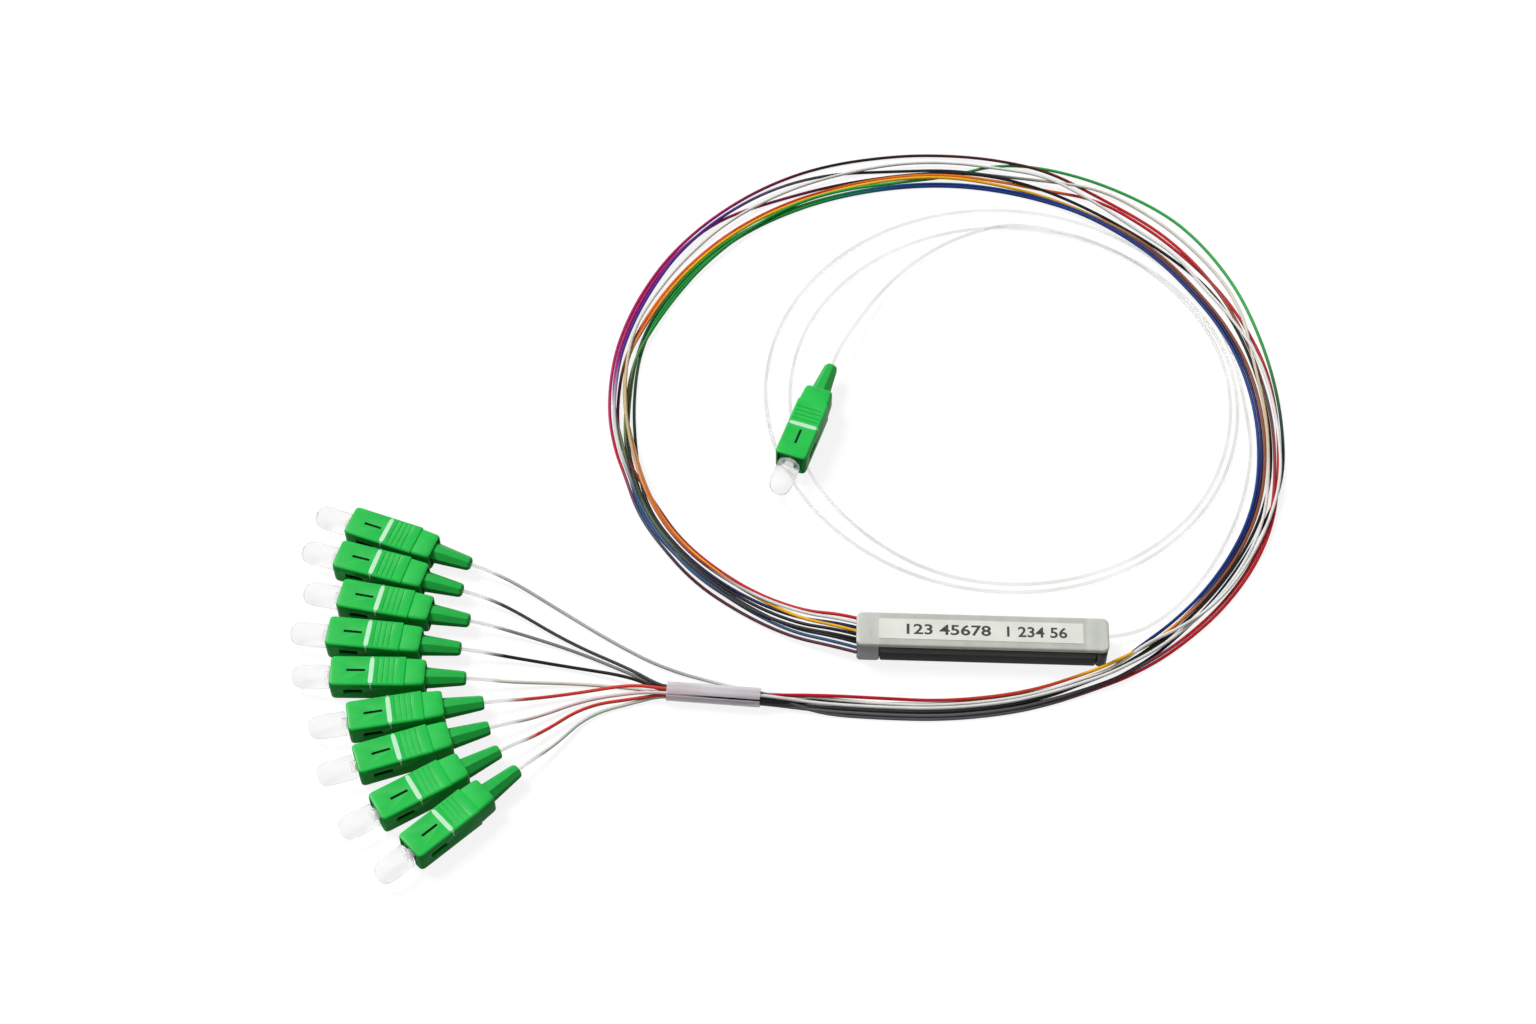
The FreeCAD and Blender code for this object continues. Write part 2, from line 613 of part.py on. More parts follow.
def route(label, points, diameter):
    """A six-sided tube of straight runs joined by tangent arcs through the corners of a route."""
    corners = [Vector(*p) for p in points]
    runs = [b.sub(a).Length for a, b in zip(corners, corners[1:])]
    edges, start, radii = [], corners[0], []
    for i in range(1, len(corners) - 1):
        back = corners[i - 1].sub(corners[i])
        ahead = corners[i + 1].sub(corners[i])
        back.normalize()
        ahead.normalize()
        turn = math.pi - back.getAngle(ahead)
        reach = 0.45 * min(runs[i - 1], runs[i])
        radius = reach / math.tan(0.5 * turn)
        radii.append(radius)
        enter = corners[i] + back * reach
        leave = corners[i] + ahead * reach
        inward = back + ahead
        inward.normalize()
        middle = corners[i] + inward * (radius / math.cos(0.5 * turn) - radius)
        edges.append(Part.LineSegment(start, enter).toShape())
        edges.append(Part.Arc(enter, middle, leave).toShape())
        start = leave
    edges.append(Part.LineSegment(start, corners[-1]).toShape())
    path = Part.Wire(edges)
    length = path.Length
    way = corners[1].sub(corners[0])
    way.normalize()
    side = way.cross(Z)
    side.normalize()
    rise = side.cross(way)
    rim = []
    for i in range(7):
        angle = math.radians(60.0 * i)
        outward = side * math.cos(angle) + rise * math.sin(angle)
        rim.append(corners[0] + outward * (0.5 * diameter))
    tube = path.makePipeShell([Part.makePolygon(rim)], True, False)
    wanted = 1.5 * math.sqrt(3.0) * (0.5 * diameter) ** 2 * length
    print("%-12s length %6.1f mm, runs %s, arc radii %s, volume %.4f of section x length" % (
        label, length, [round(r, 1) for r in runs], [round(r, 1) for r in radii], tube.Volume / wanted))
    if abs(tube.Volume / wanted - 1) > 0.02:
        raise RuntimeError("%s has the wrong volume" % label)
    return tube


def along(place, distance, side=0.0, drop=0.0):
    """A point in the frame of a connector, at a distance behind its grip's front face."""
    point = seats[place].multVec(Vector(distance, side, -drop))
    return (point.x, point.y, point.z)


# The routes of the nine legs. Each starts where its tube leaves the sleeve and ends in its boot.
sleeve_left = SLEEVE_RIGHT + sleeve_way * SIZES["sleeve_length"]
across = Rotation(Z, 90).multVec(sleeve_way)


def sleeve_exit(side, height):
    """A point on the face of the bundle, at the sleeve's left end; side is positive towards -Y."""
    return (sleeve_left.x + across.x * side, sleeve_left.y + across.y * side, height)


LEGS = {
    1: [(-58.3, -16.4, 0.9), (-68.5, -14.1, 0.9), (-84.0, -9.7, 0.7), (-98.5, -1.7, 0.7), (-113.0, 7.7, 0.7)],
    2: [sleeve_exit(-0.9, 3.5), (-92.5, -11.1, 2.2), (-109.5, -2.9, 1.2)],
    3: [sleeve_exit(-1.2, 2.3), (-91.5, -12.5, 1.4), (-107.5, -5.1, 0.7)],
    4: [sleeve_exit(0.1, 2.9), (-92.5, -13.5, 2.6), (-108.5, -10.1, 0.8)],
    5: [sleeve_exit(0.1, 1.5), (-92.0, -15.9, 0.7), (-107.5, -14.9, 0.6)],
    6: [sleeve_exit(0.1, 4.0), (-92.5, -16.2, 3.2), (-106.5, -18.3, 1.4)],
    7: [sleeve_exit(1.1, 3.4), (-91.5, -18.1, 2.2), (-104.5, -19.9, 0.7)],
    8: [sleeve_exit(1.2, 2.3), (-90.5, -19.2, 1.2), (-104.0, -22.3, 2.0)],
    9: [sleeve_exit(1.0, 1.2), (-90.5, -19.9, 0.6), (-103.0, -24.1, 0.6)],
}
for number, points in LEGS.items():
    place = "output_%d" % number
    end = [along(place, SIZES["boot_end"] + SIZES["fan_approach"], drop=SIZES["fan_approach_drop"]),
           along(place, SIZES["boot_end"])]
    leg = doc.addObject("Part::Feature", "output_leg_%d" % number)
    leg.Label = "output_leg_%d" % number
    leg.Shape = route(leg.Label, points + end, SIZES["tube_diameter"])
    nodes[leg.Label] = leg

# The input tube: from the case's right end along the inside of the band to the coil, and from the
# coil to the input connector's boot.
INPUT_LEAD = [
    (33.15, 2.7, 2.9), (40.0, 4.1, 2.2), (47.5, 9.1, 0.9), (55.2, 16.7, 0.6), (62.3, 26.3, 0.6),
    (68.2, 37.3, 0.6), (72.6, 48.7, 0.6), (75.6, 61.1, 0.6), (76.8, 74.1, 0.6), (76.6, 86.1, 0.65),
]
INPUT_TAIL = [
    (16.0, 147.1, 0.65), (3.5, 145.3, 0.65), (-9.0, 139.5, 0.7), (-19.8, 130.3, 0.9),
    (-28.4, 118.7, 1.8), (-34.9, 106.1, 3.6),
]
lead = doc.addObject("Part::Feature", "input_lead")
lead.Label = "input_lead"
lead.Shape = route("input_lead", INPUT_LEAD, SIZES["tube_diameter"])
nodes["input_lead"] = lead
input_end = [along("input", SIZES["boot_end"] + SIZES["input_approach"], drop=SIZES["input_approach_drop"]),
             along("input", SIZES["boot_end"])]
tail_tube = doc.addObject("Part::Feature", "input_tail")
tail_tube.Label = "input_tail"
tail_tube.Shape = route("input_tail", INPUT_TAIL + input_end, SIZES["tube_diameter"])
nodes["input_tail"] = tail_tube

doc.recompute()

for thing in doc.Objects:
    if "Invalid" in thing.State or "Error" in thing.State:
        raise RuntimeError("%s is %s" % (thing.Name, thing.State))

for name, node in nodes.items():
    shape = Part.getShape(node, "", needSubElement=False, transform=True)
    if shape.isNull() or not shape.isValid() or not shape.Solids:
        raise RuntimeError("%s has no valid solid" % name)
    if shape.optimalBoundingBox(False, False).ZMin < -0.01:
        raise RuntimeError("%s reaches below the floor" % name)
    shape.exportStep(os.path.join("parts", name + ".step"))
    print("%-24s %2d solids, volume %9.2f, box %6.1f %6.1f %6.1f" % (
        name, len(shape.Solids), shape.Volume, shape.BoundBox.XLength, shape.BoundBox.YLength,
        shape.BoundBox.ZLength))
for place, at in seats.items():
    tip = at.multVec(Vector(-SIZES["ferrule_tip"], 0, 0))
    print("%-10s front %s tip %s" % (
        place, tuple(round(c, 3) for c in at.Base), tuple(round(c, 3) for c in tip)))
print(len(nodes), "nodes")
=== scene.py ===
import json
import math

import bmesh
import bpy
from mathutils import Matrix, Vector


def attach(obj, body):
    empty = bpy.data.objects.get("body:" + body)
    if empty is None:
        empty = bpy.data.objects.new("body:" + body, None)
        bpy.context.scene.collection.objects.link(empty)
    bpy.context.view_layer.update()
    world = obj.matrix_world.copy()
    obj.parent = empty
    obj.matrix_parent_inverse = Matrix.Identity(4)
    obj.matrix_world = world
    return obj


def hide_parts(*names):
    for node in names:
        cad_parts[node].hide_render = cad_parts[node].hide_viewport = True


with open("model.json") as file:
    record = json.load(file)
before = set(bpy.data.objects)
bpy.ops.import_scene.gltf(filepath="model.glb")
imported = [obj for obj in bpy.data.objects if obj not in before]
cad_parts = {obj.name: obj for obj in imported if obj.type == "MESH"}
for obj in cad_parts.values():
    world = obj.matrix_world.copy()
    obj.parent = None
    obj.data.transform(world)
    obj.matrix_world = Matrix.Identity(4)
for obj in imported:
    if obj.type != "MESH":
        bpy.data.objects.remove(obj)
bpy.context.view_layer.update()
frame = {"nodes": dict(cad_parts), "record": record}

MM = 0.001
ROOT = "splitter"

# Sizes in millimetres, as in the CAD model
TUBE = 0.9
CASE_LENGTH, CASE_WIDTH, CASE_HEIGHT = 66.7, 10.2, 8.6
COVER_HEIGHT = 1.3
CASE_END = -33.15
TRAY_FROM, TRAY_TO = -26.95, 30.15
TRAY_HALF_WIDTH = 4.9
SHOULDER = 19.8
PIN_MIDDLE = 3.45
BOOT_END = 35.5
SLEEVE_RIGHT = Vector((-58.2, -18.8, 2.6))
SLEEVE_ANGLE = 177.0
SLEEVE_LENGTH = 24.6
SLEEVE_OUTER, SLEEVE_INNER = 2.55, 2.15
INPUT_COIL_CENTRE = Vector((7.3, 85.1))
INPUT_COIL_OUTER = 69.7
INPUT_COIL_TOP = 1.3

PLACES = ["output_%d" % i for i in range(1, 10)] + ["input"]


# Camera, fitted to the outlines of the nine connectors and the case

camera = bpy.data.objects.new("camera", bpy.data.cameras.new("camera"))
bpy.context.scene.collection.objects.link(camera)
camera.location = (-0.04399, -0.38897, 0.63061)
camera.rotation_euler = (math.radians(34.37), 0.0, math.radians(1.88))
camera.data.lens = 64.95
camera.data.sensor_width = 36.0
camera.data.clip_end = 20.0
bpy.context.scene.camera = camera


# Where each connector lies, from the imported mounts: the middle of its ferrule and the way out

def connector_seats():
    seats = {}
    for mount in frame["record"]["mounts"]:
        if not mount["name"].endswith("_ferrule"):
            continue
        way = Vector(mount["axis"])
        front = Vector(mount["pos_m"]) + way * PIN_MIDDLE * MM
        back = -way
        side = Vector((0, 0, 1)).cross(back)
        turn = Matrix((back, side, Vector((0, 0, 1)))).transposed().to_4x4()
        seats[mount["name"].replace("_ferrule", "")] = Matrix.Translation(front) @ turn
    return seats


SEATS = connector_seats()


def along(place, distance, drop):
    """A point in millimetres, behind a connector's front face and below its middle."""
    return (SEATS[place] @ (Vector((distance, 0.0, -drop)) * MM)) / MM


# The output cords: the band's two edges, in order from the case's left end round to the sleeve

BAND_INNER = [
    (-33.15, 4.6), (-47.0, 8.6), (-60.0, 14.8), (-72.5, 23.7), (-82.0, 32.9), (-88.8, 42.7),
    (-92.8, 52.4), (-95.6, 63.6), (-96.9, 76.8), (-96.4, 92.1), (-93.0, 104.1), (-87.4, 116.1),
    (-79.8, 127.7), (-69.0, 139.5), (-55.0, 149.6), (-40.0, 156.3), (-23.5, 160.3), (-8.0, 161.5),
    (6.0, 160.1), (19.5, 156.7), (32.5, 150.3), (45.0, 141.3), (54.0, 132.6), (61.5, 122.6),
    (69.0, 110.6), (74.8, 96.1), (78.2, 78.1), (77.6, 59.1), (74.0, 44.4), (67.9, 31.4),
    (60.0, 19.4), (51.0, 9.6), (43.2, 2.9), (36.7, -3.2), (32.2, -6.8), (25.6, -9.1),
    (16.0, -12.0), (4.9, -14.9), (-11.0, -17.0), (-27.0, -17.2), (-43.0, -16.8), (-58.2, -16.0),
]
BAND_OUTER = [
    (-33.15, -4.6), (-48.0, -0.8), (-61.5, 6.1), (-75.0, 15.3), (-84.8, 25.0), (-92.8, 36.6),
    (-98.3, 49.8), (-102.6, 63.4), (-105.3, 79.1), (-104.6, 93.1), (-102.1, 105.5), (-97.4, 118.9),
    (-90.3, 132.7), (-80.5, 145.4), (-67.6, 157.1), (-53.6, 165.7), (-37.0, 171.7), (-19.6, 174.1),
    (-3.0, 173.9), (17.5, 171.3), (37.1, 165.1), (54.4, 155.3), (66.3, 142.9), (74.8, 128.5),
    (80.5, 112.9), (84.2, 97.0), (86.0, 80.1), (86.2, 68.1), (84.8, 54.6), (81.1, 40.5),
    (75.0, 27.5), (67.6, 16.3), (59.6, 7.4), (50.1, -1.1), (44.7, -4.9), (38.8, -8.5),
    (25.4, -14.6), (11.0, -19.7), (-5.7, -22.8), (-22.0, -23.3), (-41.0, -22.5), (-58.2, -21.3),
]
STATIONS = len(BAND_INNER)
PITCH = 0.93

RED = (0.60, 0.010, 0.022)
PALE_RED = (0.76, 0.060, 0.040)
DARK_RED = (0.22, 0.010, 0.012)
MAGENTA = (0.50, 0.018, 0.16)
MAROON = (0.085, 0.012, 0.014)
MAUVE = (0.13, 0.055, 0.075)
BROWN = (0.28, 0.085, 0.04)
ORANGE = (0.85, 0.22, 0.035)
SALMON = (0.78, 0.16, 0.07)
ORANGE_RED = (0.64, 0.055, 0.015)
YELLOW = (1.0, 0.53, 0.012)
BEIGE = (0.66, 0.50, 0.26)
OLIVE = (0.16, 0.24, 0.09)
GREEN = (0.012, 0.30, 0.05)
BRIGHT_GREEN = (0.03, 0.46, 0.08)
DARK_GREEN = (0.008, 0.05, 0.02)
BLUE = (0.010, 0.045, 0.24)
NAVY = (0.008, 0.012, 0.085)
SLATE = (0.05, 0.11, 0.24)
VIOLET = (0.10, 0.022, 0.33)
BLACK = (0.004, 0.004, 0.006)
DARK_GREY = (0.05, 0.052, 0.06)
GREY = (0.13, 0.13, 0.14)
MID_GREY = (0.28, 0.28, 0.27)
PALE_GREY = (0.50, 0.50, 0.48)
WHITE = (0.86, 0.86, 0.83)
IVORY = (0.80, 0.79, 0.68)
PINK = (0.84, 0.67, 0.66)
PALE_GREEN = (0.72, 0.80, 0.70)

# The order of the tubes across the band at some stations, from its inner to its outer edge. The
# tubes lie side by side, and what is left of the band's width is shared out over the gaps (~).
ORDERS = [
    (0, "red ~ white ~ blue yellow black ~ ivory green slate brown"),
    (3, "red yellow white ~ blue black green slate ~ ivory ~ brown"),
    (5, "red yellow white ~ blue black green ~ ivory ~ slate brown"),
    (7, "blue yellow white black green slate red ~ ~ ivory ~ brown"),
    (8.5, "blue black green white yellow red ~ ivory ~ slate brown"),
    (10, "green blue black yellow red ~ white ~ ivory slate brown"),
    (12.5, "green blue black yellow red ~ white ~ ivory slate brown"),
    (14.5, "blue black green yellow red slate ~ white ~ ivory ~ brown"),
    (16.5, "blue black green yellow red slate ivory ~ white ~ brown"),
    (18.5, "blue black yellow red slate ivory ~ white ~ brown green"),
    (20, "blue black yellow slate ~ white ~ red brown ~ ivory ~ green"),
    (21.5, "blue black yellow slate ~ white ~ red brown ~ ~ ivory ~ ~ green"),
    (23.5, "blue black yellow ~ white ~ slate brown red ~ ivory ~ green"),
    (25.5, "blue black yellow ivory slate brown ~ white ~ red green"),
    (27, "blue black yellow ivory slate brown red ~ white ~ green"),
    (28.5, "blue black yellow slate green ~ ivory white ~ brown red"),
    (30, "blue black yellow slate green ~ ivory white ~ brown red"),
    (32.5, "blue ~ white ~ yellow black slate ~ ivory ~ green brown red"),
    (33, "blue yellow white black slate ~ ivory ~ green brown red"),
    (33.8, "yellow blue white black slate ~ ivory ~ green brown red"),
    (34.5, "yellow blue white black slate ~ ivory ~ green brown red"),
    (36, "yellow blue ~ white ~ black ivory ~ slate green brown red"),
    (39, "yellow blue ~ white ~ black ivory ~ slate green brown red"),
    (41, "white yellow blue black ivory slate green brown red"),
]
TAIL_FROM = 33

# Each tube: its leg, its colour in the fan and its colours at stations, from the lowest of the
# pile to the highest.
TUBES = {
    "blue": {"leg": 4, "fan": BLACK, "colours": [
        (0, NAVY), (3, NAVY), (5, BLACK), (8.5, DARK_GREEN), (10, GREEN), (14.5, GREEN), (16, BLUE),
        (31, BLUE), (33, NAVY), (35, BLACK)]},
    "black": {"leg": 7, "fan": PINK, "colours": [
        (0, BLACK), (7, DARK_GREY), (8.5, OLIVE), (10, DARK_GREEN), (12, GREEN), (14.5, GREEN), (16.5, BLUE),
        (20, BLUE), (22, MAUVE), (24, NAVY), (27, NAVY), (29, NAVY), (31, SLATE), (32.5, BLACK)]},
    "green": {"leg": 5, "fan": IVORY, "colours": [
        (0, BLACK), (3, DARK_GREY), (5, OLIVE), (8.5, OLIVE), (10, GREEN), (13, GREEN), (15, BRIGHT_GREEN),
        (24, BRIGHT_GREEN), (26, DARK_GREEN), (28, BLACK), (31, NAVY), (33, NAVY), (36, DARK_GREY)]},
    "red": {"leg": 2, "fan": DARK_GREY, "colours": [
        (0, RED), (3, RED), (5, DARK_RED), (8.5, MAROON), (10.5, ORANGE), (12.5, SALMON), (14.5, ORANGE_RED),
        (16.5, ORANGE), (18.5, ORANGE), (20, RED), (33, RED), (35, MAUVE), (37, GREY)]},
    "yellow": {"leg": 3, "fan": MID_GREY, "colours": [
        (0, YELLOW), (3, YELLOW), (5, ORANGE), (8.5, BEIGE), (10, ORANGE), (12, YELLOW), (18.5, YELLOW),
        (21.5, BROWN), (30, BROWN), (31, ORANGE), (32, YELLOW), (34.4, YELLOW), (35.4, ORANGE_RED),
        (37, ORANGE_RED), (38.5, RED)]},
    "slate": {"leg": 8, "fan": PALE_RED, "colours": [
        (0, SLATE), (5, SLATE), (7, OLIVE), (8.5, MAGENTA), (13, MAGENTA), (15, BLACK), (36, BLACK),
        (39, DARK_GREY)]},
    "brown": {"leg": 9, "fan": PALE_GREEN, "colours": [
        (0, MAUVE), (3, MAROON), (5, SLATE), (6.5, RED), (8.5, MAGENTA), (13, MAGENTA), (15, BLACK),
        (17, MAROON), (19, MAROON), (20.5, RED), (22, RED), (24, BROWN), (26, MAUVE), (28, RED), (31, RED),
        (32.5, MAUVE), (35, DARK_GREY), (38, GREY)]},
    "ivory": {"leg": 6, "fan": PALE_RED, "colours": [
        (0, BLACK), (2, DARK_GREY), (3.5, SLATE), (5.5, SLATE), (7, WHITE), (9, VIOLET), (13, VIOLET),
        (14.2, GREY), (15.5, BLACK), (18, DARK_GREY), (19.5, IVORY), (24, IVORY), (26, BEIGE), (28, WHITE)]},
    "white": {"leg": 1, "fan": PALE_GREY, "colours": [
        (0, WHITE), (1.8, WHITE), (3, DARK_RED), (5, ORANGE), (7, BEIGE), (8.5, BEIGE), (10, WHITE)]},
}

# How far some tubes arch clear of the table: they lean on the case's near right corner
ARCHES = {
    "blue": [(32, 0.0), (33.5, 0.6), (35, 0.3), (36, 0.0)],
    "white": [(32, 0.0), (33.5, 1.6), (35, 0.6), (36, 0.0)],
    "yellow": [(31.5, 0.0), (33.6, 4.3), (34.6, 3.3), (36, 0.0)],
    "black": [(31.5, 0.0), (33.6, 1.9), (34.6, 1.4), (36, 0.0)],
    "slate": [(32, 0.0), (33.6, 0.9), (35, 0.6), (36, 0.0)],
}

# How a tube leaves the case's left end: its height there, by its distance from the band's inner edge,
# the share of that height that it keeps at the first stations, and how it bends before the second
EXIT_HEIGHTS = [(0.5, 6.6), (4.6, 5.4), (6.6, 5.0), (8.8, 2.9)]
EXIT_SHARE = [1.0, 0.42, 0.08]
EXIT_BEND = 0.34
EXIT_SAG = 0.15

# How a tube climbs onto the input coil: how far outside it this starts, over what length, and the
# gap left between them
CLIMB_FROM, CLIMB_LENGTH, CLIMB_GAP = 3.2, 3.0, 0.05

# The tubes in the split sleeve: side (positive towards -Y) and height, for each leg, and how far
# from the sleeve's right end their control points are
SLEEVE_PLACES = {2: (-0.9, 3.5), 3: (-1.2, 2.3), 4: (0.1, 2.9), 5: (0.1, 1.5), 6: (0.1, 4.0),
                 7: (1.1, 3.4), 8: (1.2, 2.3), 9: (1.0, 1.2)}
SLEEVE_STEPS = (-2.5, 5.0, 14.0, SLEEVE_LENGTH - 2.0, SLEEVE_LENGTH + 2.0)

# The legs' routes between the sleeve and the boots
LEG_ROUTES = {
    1: [(-58.3, -16.4, 0.9), (-68.5, -14.1, 0.9), (-84.0, -9.7, 0.7), (-98.5, -1.7, 0.7), (-113.0, 7.7, 0.7)],
    2: [(-92.5, -11.1, 2.2), (-109.5, -2.9, 1.2)],
    3: [(-91.5, -12.5, 1.4), (-107.5, -5.1, 0.7)],
    4: [(-92.5, -13.5, 2.6), (-108.5, -10.1, 0.8)],
    5: [(-92.0, -15.9, 0.7), (-107.5, -14.9, 0.6)],
    6: [(-92.5, -16.2, 3.2), (-106.5, -18.3, 1.4)],
    7: [(-91.5, -18.1, 2.2), (-104.5, -19.9, 0.7)],
    8: [(-90.5, -19.2, 1.2), (-104.0, -22.3, 2.0)],
    9: [(-90.5, -19.9, 0.6), (-103.0, -24.1, 0.6)],
}

# The way into a boot: how far behind its end and how far below the connector's middle
LEG_APPROACH = [(12.0, 1.8), (3.0, 0.1), (-2.0, 0.0)]
INPUT_APPROACH = [(8.0, 0.3), (3.0, 0.0), (-2.0, 0.0)]


def eased(t):
    """Leads from 0 to 1 with a soft start and end."""
    return t * t * (3.0 - 2.0 * t)


def between(table, where):
    """Reads a table of (place, number) pairs, eased between its rows."""
    if where <= table[0][0]:
        return table[0][1]
    for (x0, v0), (x1, v1) in zip(table, table[1:]):
        if where <= x1:
            return v0 + (v1 - v0) * eased((where - x0) / (x1 - x0))
    return table[-1][1]


def table_height(name, i, point):
    """How high a tube's middle lies: on the table, on the input coil under it, or arched clear."""
    gap = (point - INPUT_COIL_CENTRE).length - INPUT_COIL_OUTER
    over = eased(min(1.0, max(0.0, (CLIMB_FROM - gap) / CLIMB_LENGTH)))
    height = 0.5 * TUBE + over * (INPUT_COIL_TOP + CLIMB_GAP)
    return height + between(ARCHES.get(name, [(0, 0.0)]), i)


def through(points, steps=8):
    """A finer polygon through the points of an edge, smooth at each."""
    fine = []
    for i in range(len(points) - 1):
        p0, p1, p2, p3 = (Vector(points[min(max(k, 0), len(points) - 1)]) for k in (i - 1, i, i + 1, i + 2))
        for k in range(steps):
            t = k / steps
            fine.append(0.5 * (2.0 * p1 + (p2 - p0) * t + (2.0 * p0 - 5.0 * p1 + 4.0 * p2 - p3) * t * t
                               + (3.0 * p1 - p0 - 3.0 * p2 + p3) * t * t * t))
    return fine + [Vector(points[-1])]


def band_sections():
    """The band's width at each station: its inner point and the nearest of its outer edge."""
    outer = through(BAND_OUTER)
    sections = []
    for i, point in enumerate(BAND_INNER):
        inner = Vector(point)
        if i in (0, STATIONS - 1):
            sections.append((inner, Vector(BAND_OUTER[0] if i == 0 else BAND_OUTER[-1])))
        else:
            sections.append((inner, min(outer, key=lambda p: (p - inner).length)))
    return sections


SECTIONS = band_sections()


def placed(order, width):
    """Where an order puts each tube's middle, from the inner edge of a band of this width."""
    words = order.split()
    count = len(TUBES)
    spare = width - count * PITCH
    pitch = PITCH if spare > 0.0 else (width - TUBE) / (count - 1)
    gap = max(spare, 0.0) / max(words.count("~"), 1)
    places, at = {}, 0.5 * (PITCH if spare > 0.0 else TUBE)
    for word in words:
        if word == "~":
            at += gap
        else:
            places[word] = at
            at += pitch
    return places


def band_plan():
    """Where each tube crosses each station, seen from above."""
    plan = {name: [] for name in TUBES}
    for i, (inner, outer) in enumerate(SECTIONS):
        width = (outer - inner).length
        after = next((k for k, (at, order) in enumerate(ORDERS) if at > i), len(ORDERS) - 1)
        (at0, order0), (at1, order1) = ORDERS[after - 1], ORDERS[after]
        t = eased(min(1.0, (i - at0) / (at1 - at0)))
        first, second = placed(order0, width), placed(order1, width)
        for name in TUBES:
            distance = first[name] + (second[name] - first[name]) * t
            plan[name].append(inner + (outer - inner) * (distance / width))
    return plan


def gap_between(plan, first, second, i):
    """The least sideways gap of two tubes round a station, none where they cross there."""
    gaps = []
    for j in range(max(0, i - 1), min(STATIONS, i + 2)):
        inner, outer = SECTIONS[j]
        gaps.append((plan[first][j] - plan[second][j]).dot((outer - inner).normalized()))
    if min(gaps) < 0.0 < max(gaps):
        return 0.0
    return min(abs(g) for g in gaps)


def band_heights(plan):
    """Piles the tubes up: each lies on the table or on those below it; yellow is on top of the tail."""
    heights = {name: [] for name in TUBES}
    for i in range(STATIONS):
        order = list(TUBES)
        if i >= TAIL_FROM:
            order.remove("yellow")
            order.append("yellow")
        for k, name in enumerate(order):
            height = table_height(name, i, plan[name][i])
            for below in order[:k]:
                gap = gap_between(plan, name, below, i)
                if gap < TUBE:
                    height = max(height, heights[below][i] + math.sqrt(TUBE ** 2 - gap ** 2))
            heights[name].append(height)
    return heights


def direction(degrees):
    """The way at an angle, anticlockwise from the right, seen from above."""
    return Vector((math.cos(math.radians(degrees)), math.sin(math.radians(degrees))))


def sleeve_point(leg, distance):
    """The middle of a leg's tube in the sleeve, at a distance from the sleeve's right end."""
    way = direction(SLEEVE_ANGLE).to_3d()
    across = Vector((-way.y, way.x, 0.0))
    side, height = SLEEVE_PLACES[leg]
    point = SLEEVE_RIGHT + way * distance + across * side
    return Vector((point.x, point.y, height))


def into_boot(place, approach):
    return [along(place, BOOT_END + behind, drop) for behind, drop in approach]


def output_route(name, plan, heights):
    """The control points of one output tube, in millimetres, from the case to its boot."""
    leg = TUBES[name]["leg"]
    exit_height = between(EXIT_HEIGHTS, (plan[name][0] - SECTIONS[0][0]).length)
    points = []
    for i in range(STATIONS - 1):
        height = heights[name][i]
        if i < len(EXIT_SHARE):
            height += (exit_height - height) * EXIT_SHARE[i]
        points.append(Vector((plan[name][i].x, plan[name][i].y, height)))
    points.insert(1, points[0].lerp(points[1], EXIT_BEND))
    points[1].z = exit_height - EXIT_SAG
    if leg in SLEEVE_PLACES:
        points += [sleeve_point(leg, distance) for distance in SLEEVE_STEPS]
    points += [Vector(p) for p in LEG_ROUTES[leg]]
    return points + into_boot("output_%d" % leg, LEG_APPROACH)


# The input cord: from the case's right end to the coil, two and a quarter turns, and to its boot.
# A turn of the coil is (angle in degrees, distance from its centre).

INPUT_LEAD = [
    (33.15, 2.7, 2.9), (40.0, 4.1, 2.2), (47.5, 9.1, 0.9), (55.2, 16.7, 0.6), (62.3, 26.3, 0.6),
    (68.2, 37.3, 0.6), (72.6, 48.7, 0.6), (75.6, 61.1, 0.6), (76.6, 72.5, 0.6),
]
INPUT_TAIL = [
    (14.5, 147.1, 1.45), (3.5, 145.3, 1.2), (-9.0, 139.5, 0.8), (-19.8, 130.3, 0.9),
    (-28.4, 118.7, 1.8), (-34.9, 106.1, 3.6),
]
COIL_STEP = 24.0
COIL_TURNS = [(-6, 69.0), (300, 69.0), (360, 67.6), (450, 62.3), (480, 61.0), (535, 61.6), (580, 63.6),
              (619, 66.3), (670, 66.8), (720, 65.5), (780, 63.2), (804, 62.3)]
COIL_CLEARANCE = 0.12
LAST_TURN_LIFT = [(680, 0.0), (730, TUBE)]


def input_turns():
    """The coil's turns, anticlockwise from the right; the last part rests on the turn before."""
    first, last = COIL_TURNS[0][0], COIL_TURNS[-1][0]
    steps = round((last - first) / COIL_STEP)
    points = []
    for k in range(1, steps):
        angle = first + (last - first) * k / steps
        point = INPUT_COIL_CENTRE + direction(angle) * between(COIL_TURNS, angle)
        lift = between(LAST_TURN_LIFT, angle)
        points.append(Vector((point.x, point.y, 0.5 * TUBE + COIL_CLEARANCE + lift)))
    return points


def input_route():
    points = [Vector(p) for p in INPUT_LEAD] + input_turns() + [Vector(p) for p in INPUT_TAIL]
    return points + into_boot("input", INPUT_APPROACH)


def round_curve(name, points, radius, roundness, steps):
    """A smooth round wire or tube along control points in metres."""
    curve = bpy.data.curves.new(name, "CURVE")
    curve.dimensions = "3D"
    curve.bevel_depth = radius
    curve.bevel_resolution = roundness
    curve.resolution_u = steps
    curve.use_fill_caps = True
    spline = curve.splines.new("NURBS")
    spline.points.add(len(points) - 1)
    for i, point in enumerate(points):
        spline.points[i].co = (*point, 1.0)
    spline.order_u = 3
    spline.use_endpoint_u = True
    piece = bpy.data.objects.new(name, curve)
    bpy.context.scene.collection.objects.link(piece)
    return piece


def cord_curve(name, points):
    """A tube along control points in millimetres."""
    return round_curve(name, [point * MM for point in points], 0.5 * TUBE * MM, 4, 6)


# Materials. Each is a set of nodes; colours that vary come from object space or the tube's length.

